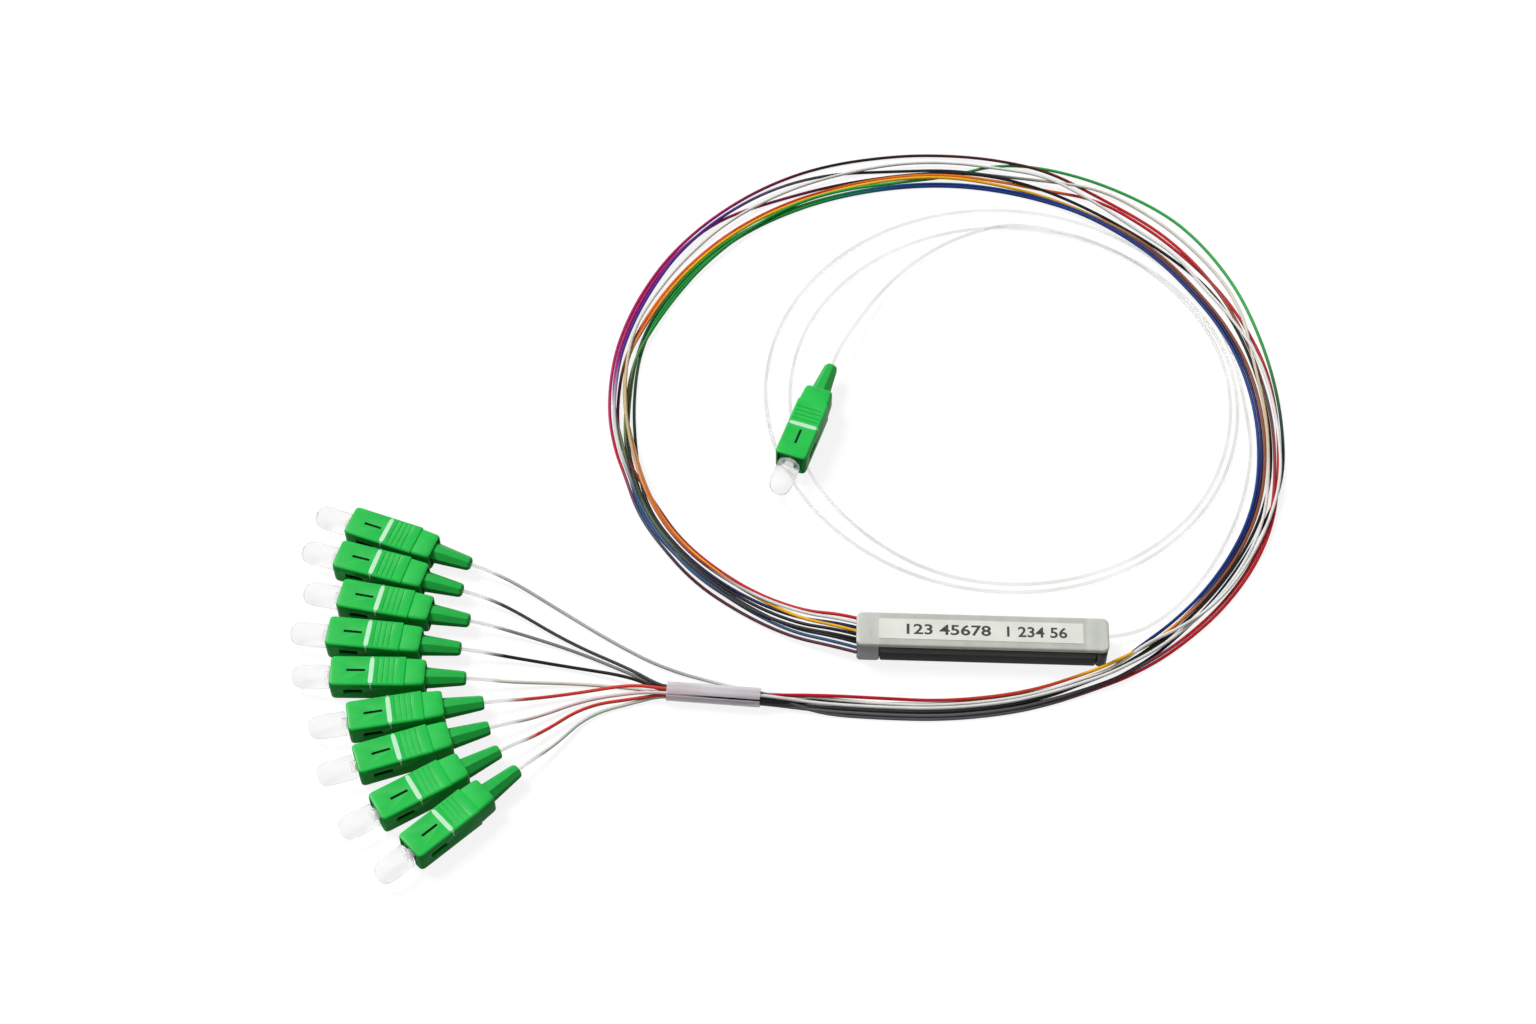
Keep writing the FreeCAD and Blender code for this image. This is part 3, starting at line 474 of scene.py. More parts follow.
def shader_of(material):
    return material.node_tree.nodes["Principled BSDF"]


def new_material(name, roughness, **sockets):
    material = bpy.data.materials.new(name)
    material.use_nodes = True
    shader = shader_of(material)
    shader.inputs["Roughness"].default_value = roughness
    for key, setting in sockets.items():
        shader.inputs[key.replace("_", " ")].default_value = setting
    return material


def add_node(owner, kind, **settings):
    node = owner.node_tree.nodes.new(kind)
    for key, setting in settings.items():
        setattr(node, key, setting)
    return node


def join(owner, out_socket, in_socket):
    owner.node_tree.links.new(out_socket, in_socket)


def noise(material, scale, detail=3.0, stretch=(1.0, 1.0, 1.0)):
    """Noise in object space; scale counts features per metre."""
    place = add_node(material, "ShaderNodeTexCoord")
    spread = add_node(material, "ShaderNodeMapping")
    spread.inputs["Scale"].default_value = stretch
    texture = add_node(material, "ShaderNodeTexNoise")
    texture.inputs["Scale"].default_value = scale
    texture.inputs["Detail"].default_value = detail
    join(material, place.outputs["Object"], spread.inputs["Vector"])
    join(material, spread.outputs["Vector"], texture.inputs["Vector"])
    return texture.outputs["Fac"]


def add_bump(material, height, strength, distance):
    bump = add_node(material, "ShaderNodeBump")
    bump.inputs["Strength"].default_value = strength
    bump.inputs["Distance"].default_value = distance
    join(material, height, bump.inputs["Height"])
    join(material, bump.outputs["Normal"], shader_of(material).inputs["Normal"])


def mix_colours(material, factor, first, second):
    mixer = add_node(material, "ShaderNodeMix", data_type="RGBA")
    join(material, factor, mixer.inputs["Factor"])
    for socket, colour in ((mixer.inputs["A"], first), (mixer.inputs["B"], second)):
        if isinstance(colour, tuple):
            socket.default_value = (*colour, 1.0)
        else:
            join(material, colour, socket)
    return mixer.outputs["Result"]


def ranged(material, value, low, high, to_low=0.0, to_high=1.0):
    scale = add_node(material, "ShaderNodeMapRange")
    scale.inputs["From Min"].default_value = low
    scale.inputs["From Max"].default_value = high
    scale.inputs["To Min"].default_value = to_low
    scale.inputs["To Max"].default_value = to_high
    join(material, value, scale.inputs["Value"])
    return scale.outputs["Result"]


def set_colour(material, socket):
    join(material, socket, shader_of(material).inputs["Base Color"])


def parts_of(material, vector):
    """The X, Y and Z of a vector."""
    split = add_node(material, "ShaderNodeSeparateXYZ")
    join(material, vector, split.inputs["Vector"])
    return split.outputs


def colour_ramp(material, value, stops):
    """Colours along a value from 0 to 1; a stop is (place, colour)."""
    ramp = add_node(material, "ShaderNodeValToRGB")
    join(material, value, ramp.inputs["Fac"])
    elements = ramp.color_ramp.elements
    for k, (at, colour) in enumerate(stops):
        element = elements[k] if k < 2 else elements.new(at)
        element.position = at
        element.color = (*colour, 1.0)
    return ramp.outputs["Color"]


def clouds(material, scale):
    """A mask of soft clouds, from 0 to 1."""
    return ranged(material, noise(material, scale, 2.0), 0.35, 0.65)


def times(colour, factor):
    return tuple(factor * c for c in colour)


# A tube turns white and clear just before its end; the places are counted in control points from there
WHITE_FROM, WHITE_TO = 2.85, 2.45
CLEAR_FROM, CLEAR_LENGTH = 2.75, 0.4
CLEAR_END = 0.85


def tube_material(name, stops, count):
    """Glossy tube plastic whose colour follows the tube; a stop is (control point, colour)."""
    def share(point):
        return (point - 0.5) / (count - 2)

    material = new_material("tube_" + name, 0.38, Specular_IOR_Level=0.5, IOR=1.25, Subsurface_Weight=0.3,
                            Subsurface_Radius=(0.008, 0.008, 0.008))
    length = parts_of(material, add_node(material, "ShaderNodeUVMap").outputs["UV"])["X"]
    colour = colour_ramp(material, length, [(min(1.0, max(0.0, share(i))), tone) for i, tone in stops])
    clear_from = count - CLEAR_FROM
    clear = ranged(material, length, share(clear_from), share(clear_from + CLEAR_LENGTH), 0.0, CLEAR_END)
    join(material, clear, shader_of(material).inputs["Transmission Weight"])
    mottled = ranged(material, noise(material, 140.0), 0.3, 0.7, 0.86, 1.0)
    set_colour(material, mix_colours(material, mottled, (0.0, 0.0, 0.0), colour))
    add_bump(material, noise(material, 900.0), 0.08, 0.0002)
    return material


def green_plastic(name, colour, roughness):
    """Green moulding plastic, with painted shade that darkens the faces that stand upright, which are also
    duller.
    """
    material = new_material(name, roughness, Specular_IOR_Level=0.25, Subsurface_Weight=0.05,
                            Subsurface_Radius=(0.0006, 0.002, 0.0008))
    flat = mix_colours(material, clouds(material, 160.0), times(colour, 0.86), colour)
    up = parts_of(material, add_node(material, "ShaderNodeNewGeometry").outputs["Normal"])["Z"]
    # Painted shade: faces that stand upright take a darker copy of the colour
    set_colour(material, mix_colours(material, ranged(material, up, 0.1, 0.75), times(colour, 0.55), flat))
    shine = ranged(material, up, 0.1, 0.75, 0.03, 0.25)
    join(material, shine, shader_of(material).inputs["Specular IOR Level"])
    add_bump(material, noise(material, 1800.0), 0.10, 0.0001)
    return material


def plain_material(name, colour, roughness, grain=900.0, bump=0.08, **sockets):
    """A surface with a faint cloud in its colour and a fine grain."""
    material = new_material(name, roughness, **sockets)
    set_colour(material, mix_colours(material, clouds(material, 120.0), times(colour, 0.9), colour))
    add_bump(material, noise(material, grain), bump, 0.0001)
    return material


def clear_tube_material():
    material = new_material("clear_tube", 0.08, Transmission_Weight=1.0, IOR=1.22)
    cloudy = clouds(material, 60.0)
    set_colour(material, mix_colours(material, cloudy, (0.76, 0.76, 0.74), (0.87, 0.87, 0.85)))
    return material


# The tray's colours from its foot to its top, as shares of the height given next in metres: dark navy at the
# foot, a painted grey highlight along the middle and painted shadow under the cover at the top
TRAY_SHADE_AND_SHEEN_TOP = 0.008
TRAY_SHADE_AND_SHEEN = [(0.0, (0.003, 0.004, 0.014)), (0.15, (0.008, 0.011, 0.032)), (0.36, (0.04, 0.043, 0.055)),
              (0.58, (0.19, 0.188, 0.165)), (0.72, (0.12, 0.115, 0.095)), (0.88, (0.008, 0.007, 0.006))]


def tray_material():
    """Dark moulding: black at the top as painted shadow under the cover, a painted grey highlight along the
    middle and navy below.
    """
    material = new_material("dark_tray", 0.3, Specular_IOR_Level=0.05)
    place = parts_of(material, add_node(material, "ShaderNodeTexCoord").outputs["Object"])
    # Painted shadow under the cover and a painted highlight along the middle, set by height
    shade_and_sheen = colour_ramp(material, ranged(material, place["Z"], 0.0, TRAY_SHADE_AND_SHEEN_TOP), TRAY_SHADE_AND_SHEEN)
    streaks = ranged(material, noise(material, 160.0, 4.0, (0.12, 1.0, 2.0)), 0.3, 0.7, 0.45, 1.0)
    set_colour(material, mix_colours(material, streaks, BLACK, shade_and_sheen))
    add_bump(material, noise(material, 500.0, 3.0, (0.2, 1.0, 1.0)), 0.08, 0.0002)
    return material


# Where the cover's two ends begin, in metres from its middle: it is paler over the resin
COVER_ENDS = (0.0268, 0.0276)


def cover_material():
    """Frosted cover: grey, paler over its two ends."""
    material = new_material("frosted_cover", 0.42, Specular_IOR_Level=0.35, Subsurface_Weight=0.1)
    place = parts_of(material, add_node(material, "ShaderNodeTexCoord").outputs["Object"])
    middle = add_node(material, "ShaderNodeMath", operation="ABSOLUTE")
    join(material, place["X"], middle.inputs[0])
    ends = ranged(material, middle.outputs["Value"], *COVER_ENDS)
    cloudy = ranged(material, noise(material, 260.0, 3.0, (1.0, 0.4, 1.0)), 0.3, 0.7)
    body = mix_colours(material, cloudy, (0.51, 0.50, 0.44), (0.59, 0.58, 0.52))
    tip = mix_colours(material, cloudy, (0.56, 0.55, 0.49), (0.68, 0.67, 0.61))
    set_colour(material, mix_colours(material, ends, body, tip))
    add_bump(material, noise(material, 1500.0), 0.12, 0.0001)
    return material


MATERIALS = {
    "grip": green_plastic("grip_green", (0.012, 0.58, 0.075), 0.34),
    "boot": green_plastic("boot_green", (0.010, 0.50, 0.065), 0.45),
    "frame": green_plastic("plug_frame_green", (0.008, 0.22, 0.035), 0.4),
    # The key slot's faces: a darker green as painted shade in the recess
    "slot": plain_material("slot_shade", (0.004, 0.075, 0.018), 0.6, Specular_IOR_Level=0.1),
    "stripe": plain_material("stripe_white", (0.54, 0.87, 0.60), 0.4),
    "ceramic": plain_material("zirconia_white", (0.90, 0.90, 0.86), 0.12, bump=0.02),
    "steel": plain_material("crimp_steel", (0.56, 0.56, 0.57), 0.32, grain=3000.0, Metallic=1.0),
    "spring": plain_material("spring_steel", (0.46, 0.46, 0.48), 0.28, grain=3000.0, Metallic=1.0),
    "cap": plain_material("cap_white", (1.0, 1.0, 1.0), 0.25, bump=0.02, Transmission_Weight=0.9, IOR=1.1),
    "sleeve": plain_material("sleeve_clear", (0.93, 0.90, 0.93), 0.3, bump=0.03, Transmission_Weight=0.6,
                             IOR=1.2),
    "silica": plain_material("silica", (0.85, 0.9, 0.92), 0.05, Transmission_Weight=0.9),
    "label": plain_material("label_paper", (0.80, 0.81, 0.74), 0.55, grain=2500.0, bump=0.12),
    "ink": plain_material("label_ink", (0.02, 0.02, 0.022), 0.6),
    "seal": plain_material("end_resin", (0.17, 0.165, 0.145), 0.3, Transmission_Weight=0.15),
    "cover": cover_material(),
    "tray": tray_material(),
    "clear_tube": clear_tube_material(),
}


def paint(piece, name):
    piece.data.materials.clear()
    piece.data.materials.append(MATERIALS[name])


def paint_node(node, name):
    """A CAD node that stays shown gets a finish of its own."""
    paint(frame["nodes"][node], name)


# Meshes. Shapes are drawn in millimetres and scaled at the end.

def link_mesh(name, mesh, place=Matrix.Identity(4)):
    piece = bpy.data.objects.new(name, mesh)
    piece.matrix_world = place
    bpy.context.scene.collection.objects.link(piece)
    return piece


def lofted(name, rings, wheel=False):
    """A skin over rings of equally many points, closed at its ends or from the last ring to the first."""
    mesh = bpy.data.meshes.new(name)
    shape = bmesh.new()
    rows = [[shape.verts.new(point) for point in ring] for ring in rings]
    pairs = list(zip(rows, rows[1:]))
    if wheel:
        pairs.append((rows[-1], rows[0]))
    count = len(rows[0])
    for first, second in pairs:
        for i in range(count):
            j = (i + 1) % count
            shape.faces.new((first[i], first[j], second[j], second[i]))
    if not wheel:
        shape.faces.new(rows[0][::-1])
        shape.faces.new(rows[-1])
    bmesh.ops.recalc_face_normals(shape, faces=shape.faces)
    shape.to_mesh(mesh)
    shape.free()
    return mesh


def finish_mesh(mesh, angle=35.0):
    """Millimetres to metres, smooth shading apart from edges sharper than the angle."""
    mesh.transform(Matrix.Scale(MM, 4))
    mesh.shade_smooth()
    mesh.set_sharp_from_angle(angle=math.radians(angle))
    return mesh


def rounded_rectangle(low, high, half, corner, steps):
    """Points round a rectangle, from low to high one way and from -half to half the other."""
    ring = []
    for quarter, (sign_u, sign_v) in enumerate(((1, 1), (-1, 1), (-1, -1), (1, -1))):
        for k in range(steps + 1):
            angle = math.radians(90.0 * quarter + 90.0 * k / steps)
            u = high - corner if sign_u > 0 else low + corner
            ring.append((u + corner * math.cos(angle), sign_v * (half - corner) + corner * math.sin(angle)))
    return ring


def rounded_section(x, half_width, half_height, corner):
    """A rounded rectangle across the x axis."""
    return [(x, u, v) for u, v in rounded_rectangle(-half_width, half_width, half_height, corner, 5)]


def plan_ring(z, inset, corner, steps=4, low=TRAY_FROM, high=TRAY_TO, half=TRAY_HALF_WIDTH):
    """A rounded rectangle seen from above, drawn in by an inset."""
    return [(u, v, z) for u, v in rounded_rectangle(low + inset, high - inset, half - inset, corner, steps)]


def around(x, radius, angle):
    """A point on a circle round the x axis."""
    return (x, radius * math.cos(angle), radius * math.sin(angle))


def box_mesh(low, high):
    mesh = bpy.data.meshes.new("cutter")
    shape = bmesh.new()
    bmesh.ops.create_cube(shape, size=1.0)
    size = Vector(high) - Vector(low)
    for vert in shape.verts:
        share = vert.co + Vector((0.5, 0.5, 0.5))
        vert.co = Vector(low) + Vector([a * b for a, b in zip(share, size)])
    shape.to_mesh(mesh)
    shape.free()
    return mesh


def carved(mesh, cutters, bevel, segments=2):
    """The mesh less its cutters, with its sharp edges softened."""
    body = link_mesh("carving", mesh)
    helpers = []
    for cutter in cutters:
        helper = link_mesh("cutter", cutter)
        helpers.append(helper)
        step = body.modifiers.new("cut", "BOOLEAN")
        step.operation = "DIFFERENCE"
        step.object = helper
        step.solver = "EXACT"
    soft = body.modifiers.new("soft", "BEVEL")
    soft.width = bevel
    soft.segments = segments
    soft.limit_method = "ANGLE"
    soft.angle_limit = math.radians(50.0)
    result = bpy.data.meshes.new_from_object(
        body.evaluated_get(bpy.context.evaluated_depsgraph_get()))
    for helper in helpers + [body]:
        bpy.data.objects.remove(helper)
    return result


# The grip. Its front rounds off over these lengths, by these depths, at its sides and at its top.
GRIP_HALF_WIDTH, GRIP_HALF_HEIGHT, GRIP_CORNER = 4.5, 3.7, 0.7
SIDE_NOSE, TOP_NOSE = (1.4, 0.9), (0.45, 0.3)
NOSE_STEPS = (0.0, 0.1, 0.3, 0.6, 1.0, 1.4)
# The step at its shoulder as (x, less), then its tail and its bore as (x, half width, half height)
STEP_RINGS = [(SHOULDER - 0.25, 0.0), (SHOULDER - 0.08, 0.06), (SHOULDER, 0.22), (SHOULDER + 0.05, 0.30)]
TAIL_RINGS = [(SHOULDER + 0.5, 4.24, 3.44), (23.9, 4.0, 3.42), (24.5, 3.9, 3.38), (24.85, 3.72, 3.28),
              (25.0, 3.5, 3.18)]
BORE_RINGS = [(25.0, 3.12, 3.02), (24.8, 3.05, 2.95), (19.0, 3.05, 2.95), (19.0, 3.8, 3.0),
              (0.25, 3.8, 3.0), (0.0, 3.84, 3.1)]
TAIL_CORNER, BORE_CORNER = 0.9, 0.35
# Its cuts, as opposite corners of boxes, and the zone of the faces in the key slot, which are painted darker
# as painted shade
WINDOWS = ((3.6, -6.0, -1.2), (8.6, 6.0, 1.2))
KEY_SLOT = ((4.4, -0.35, 3.2), (9.3, 0.35, 4.5))
SLOT_ZONE = ((4.3, -0.36, 3.1), (9.4, 0.36, 3.66))
GROOVES, GROOVES_FROM, GROOVE_PITCH, GROOVE_WIDTH = 4, 12.6, 1.4, 0.16
GROOVE_HALF_LENGTH, GROOVE_FLOOR, CUT_TOP = 3.75, 3.55, 4.5
# Its stripe: (y, z, width) across the top, and how far its edges sink in and slope
STRIPE_FROM, STRIPE_WIDTH = 10.3, 1.3
STRIPE_MIDDLE = STRIPE_FROM + 0.5 * STRIPE_WIDTH
STRIPE_PATH = [(-4.53, 1.6, 0.2), (-4.53, 2.4, 0.3), (-4.53, 3.0, 0.4), (-4.33, 3.52, 0.55),
               (-3.8, 3.735, 0.95), (-3.3, 3.74, STRIPE_WIDTH), (0.0, 3.74, STRIPE_WIDTH),
               (3.3, 3.74, 1.2), (3.8, 3.735, 0.8), (4.33, 3.52, 0.45), (4.53, 3.0, 0.35),
               (4.53, 2.4, 0.3), (4.53, 1.6, 0.2)]
STRIPE_SINK, STRIPE_SLOPE = 0.985, 0.46
GRIP_FINISHES = ("grip", "stripe", "slot")


def drawn_in(x, length, depth):
    """How far a face is drawn in at x, where it rounds off over a length by a depth."""
    return depth * (1.0 - math.sqrt(max(0.0, 1.0 - (1.0 - min(x, length) / length) ** 2)))


def grip_mesh():
    """The grip: a rounded box with a stepped tail, hollow, with windows, slot, ribs and stripe."""
    rings = [rounded_section(x, GRIP_HALF_WIDTH - drawn_in(x, *SIDE_NOSE),
                             GRIP_HALF_HEIGHT - drawn_in(x, *TOP_NOSE), GRIP_CORNER) for x in NOSE_STEPS]
    rings += [rounded_section(x, GRIP_HALF_WIDTH - less, GRIP_HALF_HEIGHT - less, GRIP_CORNER)
              for x, less in STEP_RINGS]
    rings += [rounded_section(*ring, TAIL_CORNER) for ring in TAIL_RINGS]
    rings += [rounded_section(*ring, BORE_CORNER) for ring in BORE_RINGS]
    cutters = [box_mesh(*WINDOWS), box_mesh(*KEY_SLOT)]
    for k in range(GROOVES):
        start = GROOVES_FROM + GROOVE_PITCH * k
        cutters.append(box_mesh((start, -GROOVE_HALF_LENGTH, GROOVE_FLOOR),
                                (start + GROOVE_WIDTH, GROOVE_HALF_LENGTH, CUT_TOP)))
    mesh = carved(lofted("grip", rings, wheel=True), cutters, 0.05)
    for name in GRIP_FINISHES:
        mesh.materials.append(MATERIALS[name])
    # The faces in the key slot take the painted shade
    for face in mesh.polygons:
        if all(low < at < high for low, at, high in zip(SLOT_ZONE[0], face.center, SLOT_ZONE[1])):
            face.material_index = GRIP_FINISHES.index("slot")
    add_stripe(mesh)
    return finish_mesh(mesh)


def add_stripe(mesh):
    """The pale stripe across the top, which thins out over the two upper corners."""
    shape = bmesh.new()
    shape.from_mesh(mesh)
    rows = []
    for y, z, width in STRIPE_PATH:
        low = Vector((0.0, y, z)) * STRIPE_SINK
        rows.append([shape.verts.new(p) for p in (
            (STRIPE_MIDDLE - 0.5 * width, low.y, low.z), (STRIPE_MIDDLE - STRIPE_SLOPE * width, y, z),
            (STRIPE_MIDDLE + STRIPE_SLOPE * width, y, z), (STRIPE_MIDDLE + 0.5 * width, low.y, low.z))])
    made = []
    for first, second in zip(rows, rows[1:]):
        for i in range(4):
            j = (i + 1) % 4
            made.append(shape.faces.new((first[i], first[j], second[j], second[i])))
    made += [shape.faces.new(rows[0]), shape.faces.new(rows[-1][::-1])]
    bmesh.ops.recalc_face_normals(shape, faces=made)
    for face in made:
        face.material_index = GRIP_FINISHES.index("stripe")
    shape.to_mesh(mesh)
    shape.free()


# The boot and the cap as (x, radius), behind and in front of the grip's front face
BOOT_PROFILE = [(22.6, 2.78), (25.2, 2.82), (25.5, 2.80), (34.6, 1.98), (35.2, 1.82), (35.45, 1.55),
                (35.5, 1.2), (35.42, 0.62), (33.5, 0.6)]
CAP_PROFILE = [(-10.3, 0.15), (-10.27, 0.8), (-10.1, 1.5), (-9.75, 2.1), (-9.2, 2.6), (-8.4, 2.95),
               (-7.4, 3.12), (-6.0, 3.18), (-1.0, 3.2), (-0.65, 3.14), (-0.5, 2.95), (-0.5, 1.85),
               (-0.35, 1.72), (4.2, 1.72), (4.4, 1.62), (4.4, 1.5), (4.3, 1.41), (-1.5, 1.41), (-1.6, 1.2)]
CAP_STEPS = 40


def boot_mesh():
    """The boot: eight flats that taper to a rounded tip, with a bore for the tube."""
    rings = [[around(x, radius, math.radians(22.5 + 45.0 * i)) for i in range(8)]
             for x, radius in BOOT_PROFILE]
    return finish_mesh(carved(lofted("boot", rings), [], 0.28, 3), 30.0)


def cap_mesh():
    """The dust cap: a domed head and a sleeve that grips the ferrule."""
    rings = [[around(x, radius, 2.0 * math.pi * i / CAP_STEPS) for i in range(CAP_STEPS)]
             for x, radius in CAP_PROFILE]
    return finish_mesh(lofted("cap", rings))


# A ferrule's spring: from x to x, and its radii
SPRING_FROM, SPRING_TO, SPRING_RADIUS, WIRE_RADIUS = 11.75, 16.15, 1.8, 0.17
SPRING_TURNS, POINTS_PER_TURN = 5, 10


def spring_curve(name, seat):
    """A wire spring behind a ferrule's flange."""
    count = SPRING_TURNS * POINTS_PER_TURN
    points = []
    for i in range(count + 1):
        x = SPRING_FROM + (SPRING_TO - SPRING_FROM) * i / count
        point = around(x, SPRING_RADIUS, 2.0 * math.pi * i / POINTS_PER_TURN)
        points.append([c * MM for c in point])
    spring = round_curve(name, points, WIRE_RADIUS * MM, 2, 4)
    spring.matrix_world = seat
    return spring


# The connectors


def build_connectors():
    grip, boot, cap = grip_mesh(), boot_mesh(), cap_mesh()
    boot.materials.append(MATERIALS["boot"])
    cap.materials.append(MATERIALS["cap"])
    for place in PLACES:
        seat = SEATS[place]
        shell = link_mesh(place + "_grip_shell", grip, seat)
        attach(shell, place + "_grip")
        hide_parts(place + "_grip")
        relief = link_mesh(place + "_boot", boot, seat)
        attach(relief, ROOT)
        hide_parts("boots")
        dust = link_mesh(place + "_cap", cap, seat)
        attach(dust, place + "_dust_cap")
        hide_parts(place + "_dust_cap")
        coil = spring_curve(place + "_spring", seat)
        coil.data.materials.append(MATERIALS["spring"])
        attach(coil, ROOT)
        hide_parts("ferrule_springs")
        paint_node(place + "_ferrule", "ceramic")
    paint_node("plug_frames", "frame")
    paint_node("rear_bodies", "steel")


# The cords. Past the last station, in control points, a tube takes on its colour in the fan.

FAN_COLOUR_FROM, FAN_COLOUR_LENGTH = 1.8, 1.2
FREE_LEG_COLOUR_FROM = 0.6


def build_cords():
    plan = band_plan()
    heights = band_heights(plan)
    for name, tube in TUBES.items():
        points = output_route(name, plan, heights)
        leg = tube["leg"]
        cord = cord_curve("output_tube_%d" % leg, points)
        count = len(points)
        stops = [(i + 1 if i else 0, colour) for i, colour in tube["colours"]]
        turn = STATIONS + (FAN_COLOUR_FROM if leg in SLEEVE_PLACES else FREE_LEG_COLOUR_FROM)
        stops += [(turn, stops[-1][1]), (turn + FAN_COLOUR_LENGTH, tube["fan"]),
                  (count - WHITE_FROM, tube["fan"]), (count - WHITE_TO, WHITE), (count - 1, WHITE)]
        cord.data.materials.append(tube_material(str(leg), stops, count))
        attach(cord, ROOT)
        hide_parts("output_coil", "output_leg_%d" % leg)
    points = input_route()
    cord = cord_curve("input_tube", points)
    cord.data.materials.append(MATERIALS["clear_tube"])
    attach(cord, ROOT)
    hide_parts("input_lead", "input_coil", "input_tail")


# The case. Its parts are skins over rings, each at a height and with an inset.

COVER_LOW = CASE_HEIGHT - COVER_HEIGHT


def build_tray():
    """The dark tray: a hollow moulding with a rounded foot and a groove along its sides."""
    rings = [plan_ring(z, inset, 0.3) for z, inset in (
        (0.0, 0.75), (0.12, 0.40), (0.4, 0.12), (0.8, 0.0), (3.5, 0.0), (3.7, 0.14), (4.3, 0.14), (4.5, 0.0),
        (COVER_LOW - 0.5, 0.0), (COVER_LOW - 0.35, 0.25), (COVER_LOW, 0.25))]
    rings += [plan_ring(z, 0.95, 0.2) for z in (COVER_LOW, 0.7)]
    tray = link_mesh("tray_shell", finish_mesh(lofted("tray", rings), 30.0))
    paint(tray, "tray")
    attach(tray, ROOT)
    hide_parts("base_tray")


def build_cover():
    """The frosted cover, with rounded corners and a softly rounded rim."""
    half_length, half_width = 0.5 * CASE_LENGTH, 0.5 * CASE_WIDTH
    rings = [plan_ring(z, inset, 1.7 - inset, 8, -half_length, half_length, half_width) for z, inset in (
        (COVER_LOW, 0.5), (COVER_LOW, 0.16), (COVER_LOW + 0.06, 0.04), (COVER_LOW + 0.18, 0.0),
        (CASE_HEIGHT - 0.42, 0.0), (CASE_HEIGHT - 0.22, 0.07), (CASE_HEIGHT - 0.07, 0.22),
        (CASE_HEIGHT, 0.45), (CASE_HEIGHT, 0.75))]
    cover = link_mesh("cover_shell", finish_mesh(lofted("cover", rings), 40.0))
    paint(cover, "cover")
    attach(cover, ROOT)
    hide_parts("top_cover")


def build_seals():
    """The resin ends: grey at the outputs, and as dark as the tray at the input, with the tray's painted
    shadow and highlight.
    """
    for node, low, high, finish in (("output_end_seal", CASE_END, TRAY_FROM, "seal"),
                                    ("input_end_seal", TRAY_TO, -CASE_END, "tray")):
        rings = [plan_ring(z, inset, 1.0, 5, low, high) for z, inset in (
            (0.0, 0.45), (0.15, 0.15), (0.45, 0.0), (COVER_LOW - 0.3, 0.0), (COVER_LOW, 0.0))]
        seal = link_mesh(node + "_resin", finish_mesh(lofted(node, rings), 40.0))
        paint(seal, finish)
        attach(seal, ROOT)
        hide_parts(node)


# The label's print: plain numbers, each group between two places along the case
LABEL_TOP = CASE_HEIGHT + 0.12
PRINT_HEIGHT = 3.3
PRINT_DEPTH = 0.01
PRINT = [("print_left", "123 45678", -20.1, 2.2), ("print_right", "1 234 56", 6.4, 22.3)]


def print_mesh(name, words):
    """Letters as a thin closed body, in the font's own size."""
    letters = bpy.data.curves.new(name, "FONT")
    letters.body = words
    letters.resolution_u = 3
    letters.offset = 0.02
    letters.extrude = PRINT_DEPTH
    raw = bpy.data.objects.new("raw_print", letters)
    bpy.context.scene.collection.objects.link(raw)
    mesh = bpy.data.meshes.new_from_object(raw.evaluated_get(bpy.context.evaluated_depsgraph_get()))
    bpy.data.objects.remove(raw)
    shape = bmesh.new()
    shape.from_mesh(mesh)
    bmesh.ops.remove_doubles(shape, verts=shape.verts, dist=0.0005)
    bmesh.ops.recalc_face_normals(shape, faces=shape.faces)
    shape.to_mesh(mesh)
    shape.free()
    return mesh


def build_label():
    """A paper strip with its print, which is half sunk into it."""
    paint_node("label_strip", "label")
    for name, words, start, end in PRINT:
        mesh = print_mesh(name, words)
        across = [vert.co.x for vert in mesh.vertices]
        up = [vert.co.y for vert in mesh.vertices]
        stretch = (end - start) / (max(across) - min(across))
        rise = PRINT_HEIGHT / (max(up) - min(up))
        for vert in mesh.vertices:
            vert.co = (start + (vert.co.x - min(across)) * stretch,
                       (vert.co.y - 0.5 * (min(up) + max(up))) * rise, LABEL_TOP + vert.co.z)
        print_piece = link_mesh(name, finish_mesh(mesh))
        paint(print_piece, "ink")
        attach(print_piece, ROOT)


def build_optics():
    for node in ("splitter_chip", "output_fibre_array", "input_fibre_array"):
        paint_node(node, "silica")


# The sleeve's slit, as a width and a direction round it, and how its ends are eased
SLIT, SLIT_ANGLE = 0.7, 40.0
SLEEVE_SIDES = 44
SLEEVE_RIM, RIM_SCALE = 0.12, 0.985


def build_sleeve():
    """The split sleeve: a thin tube with a slit along its top."""
    half_slit = math.asin(0.5 * SLIT / SLEEVE_OUTER)
    ring = []
    for radius, order in ((SLEEVE_OUTER, range(SLEEVE_SIDES + 1)),
                          (SLEEVE_INNER, range(SLEEVE_SIDES, -1, -1))):
        for k in order:
            turned = (2.0 * math.pi - 2.0 * half_slit) * k / SLEEVE_SIDES
            angle = math.radians(SLIT_ANGLE) + half_slit + turned
            ring.append((radius * math.cos(angle), radius * math.sin(angle)))
    rings = []
    for x, scale in ((0.0, RIM_SCALE), (SLEEVE_RIM, 1.0), (SLEEVE_LENGTH - SLEEVE_RIM, 1.0),
                     (SLEEVE_LENGTH, RIM_SCALE)):
        rings.append([(x, a * scale, b * scale) for a, b in ring])
    seat = Matrix.Translation(SLEEVE_RIGHT * MM) @ Matrix.Rotation(math.radians(SLEEVE_ANGLE), 4, "Z")
    sleeve = link_mesh("sleeve_tube", finish_mesh(lofted("sleeve", rings)), seat)
    paint(sleeve, "sleeve")
    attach(sleeve, ROOT)
    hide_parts("fan_sleeve")


# Floor, world and lamp

FLOOR_HALF = 6.0  # metres
FLOOR_GLOW = 0.86
FLOOR_COLOUR = 0.17
AMBIENT = 0.30


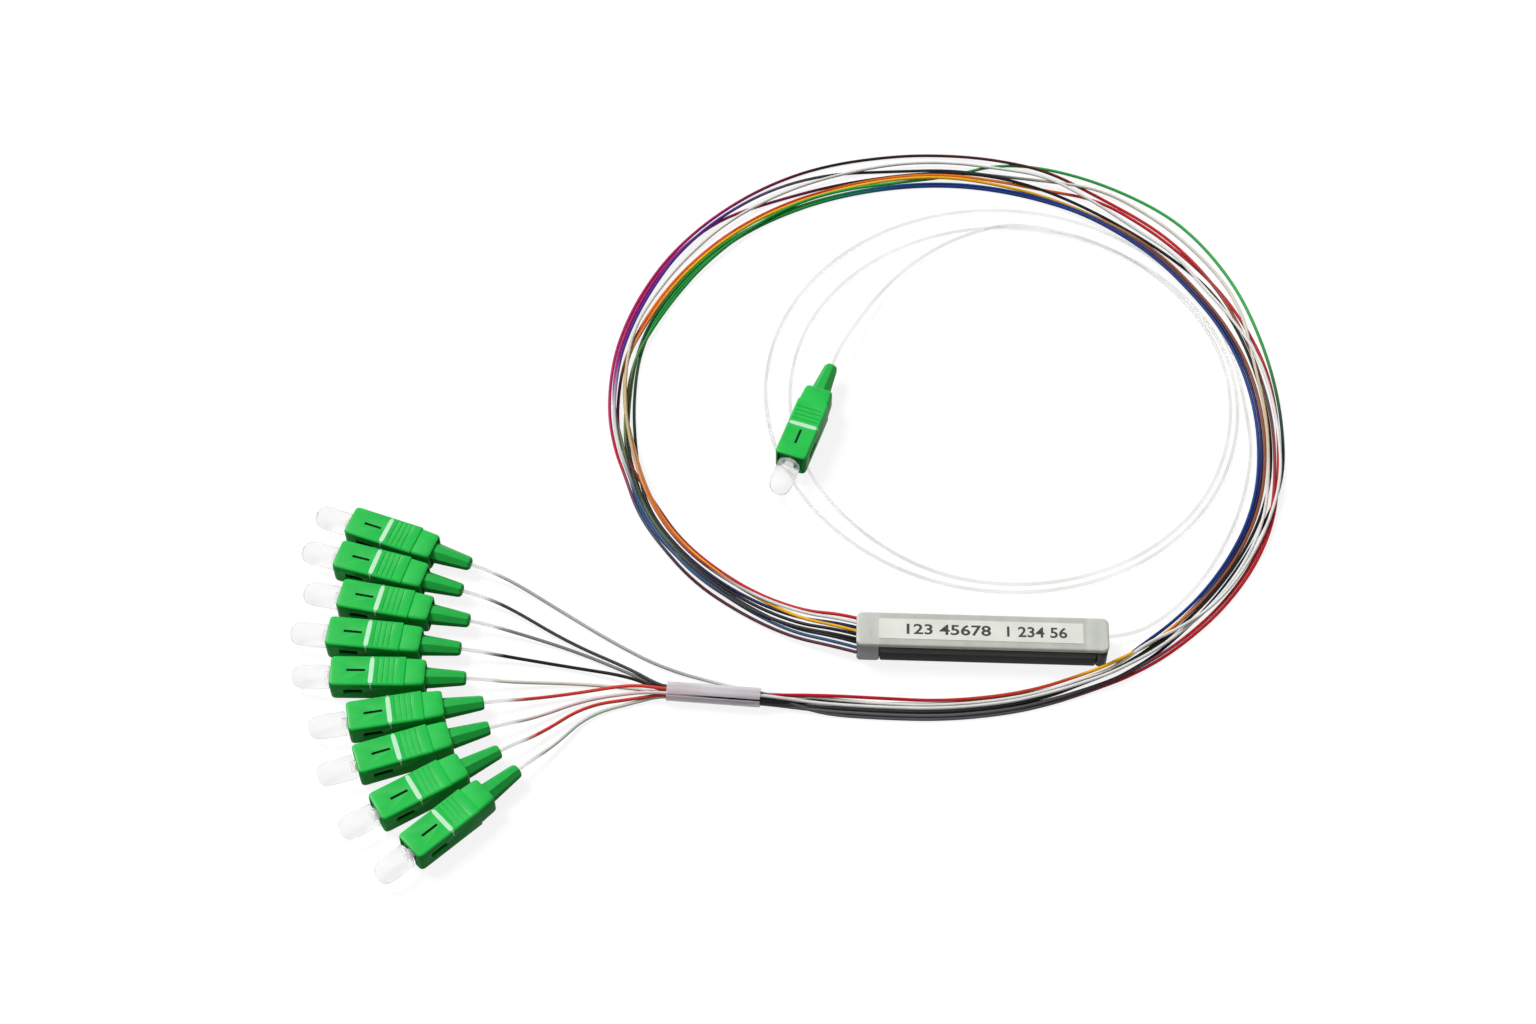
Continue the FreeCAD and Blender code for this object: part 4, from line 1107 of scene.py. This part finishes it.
def seen_ray(owner):
    """One where a ray comes from the camera, a mirror or through glass."""
    path = add_node(owner, "ShaderNodeLightPath")
    seen = path.outputs["Is Camera Ray"]
    for kind in ("Is Glossy Ray", "Is Transmission Ray"):
        most = add_node(owner, "ShaderNodeMath", operation="MAXIMUM")
        join(owner, seen, most.inputs[0])
        join(owner, path.outputs[kind], most.inputs[1])
        seen = most.outputs["Value"]
    return seen


def build_floor():
    """A matt floor whose glow is seen but lights nothing, so it is white and still takes shadows."""
    corners = [(-FLOOR_HALF, -FLOOR_HALF, 0), (FLOOR_HALF, -FLOOR_HALF, 0), (FLOOR_HALF, FLOOR_HALF, 0),
               (-FLOOR_HALF, FLOOR_HALF, 0)]
    mesh = bpy.data.meshes.new("floor")
    mesh.from_pydata(corners, [], [(0, 1, 2, 3)])
    floor = link_mesh("floor", mesh)
    material = bpy.data.materials.new("floor_white")
    material.use_nodes = True
    nodes = material.node_tree.nodes
    nodes.remove(nodes["Principled BSDF"])
    matt = add_node(material, "ShaderNodeBsdfDiffuse")
    matt.inputs["Color"].default_value = (FLOOR_COLOUR, FLOOR_COLOUR, FLOOR_COLOUR, 1.0)
    strength = add_node(material, "ShaderNodeMath", operation="MULTIPLY")
    strength.inputs[1].default_value = FLOOR_GLOW
    join(material, seen_ray(material), strength.inputs[0])
    glow = add_node(material, "ShaderNodeEmission")
    join(material, strength.outputs["Value"], glow.inputs["Strength"])
    both = add_node(material, "ShaderNodeAddShader")
    join(material, matt.outputs["BSDF"], both.inputs[0])
    join(material, glow.outputs["Emission"], both.inputs[1])
    join(material, both.outputs["Shader"], nodes["Material Output"].inputs["Surface"])
    floor.data.materials.append(material)


def build_world():
    """A white world, dimmer as a source of light than as it is seen."""
    world = bpy.data.worlds.new("studio")
    bpy.context.scene.world = world
    world.use_nodes = True
    background = world.node_tree.nodes["Background"]
    background.inputs["Color"].default_value = (1.0, 1.0, 1.0, 1.0)
    join(world, ranged(world, seen_ray(world), 0.0, 1.0, AMBIENT, 1.0), background.inputs["Strength"])


def build_lamp():
    """A soft, even light from behind on the left."""
    lamp = bpy.data.lights.new("key_lamp", "SUN")
    lamp.energy = 2.6
    lamp.angle = math.radians(22.0)
    lamp_object = bpy.data.objects.new("key_lamp", lamp)
    lamp_object.location = (-0.5, 0.35, 0.8)
    lamp_object.rotation_euler = (-lamp_object.location).to_track_quat("-Z", "Y").to_euler()
    bpy.context.scene.collection.objects.link(lamp_object)


build_connectors()
build_cords()
build_sleeve()
build_tray()
build_cover()
build_seals()
build_label()
build_optics()
build_floor()
build_world()
build_lamp()

bpy.context.scene.view_settings.view_transform = "Standard"
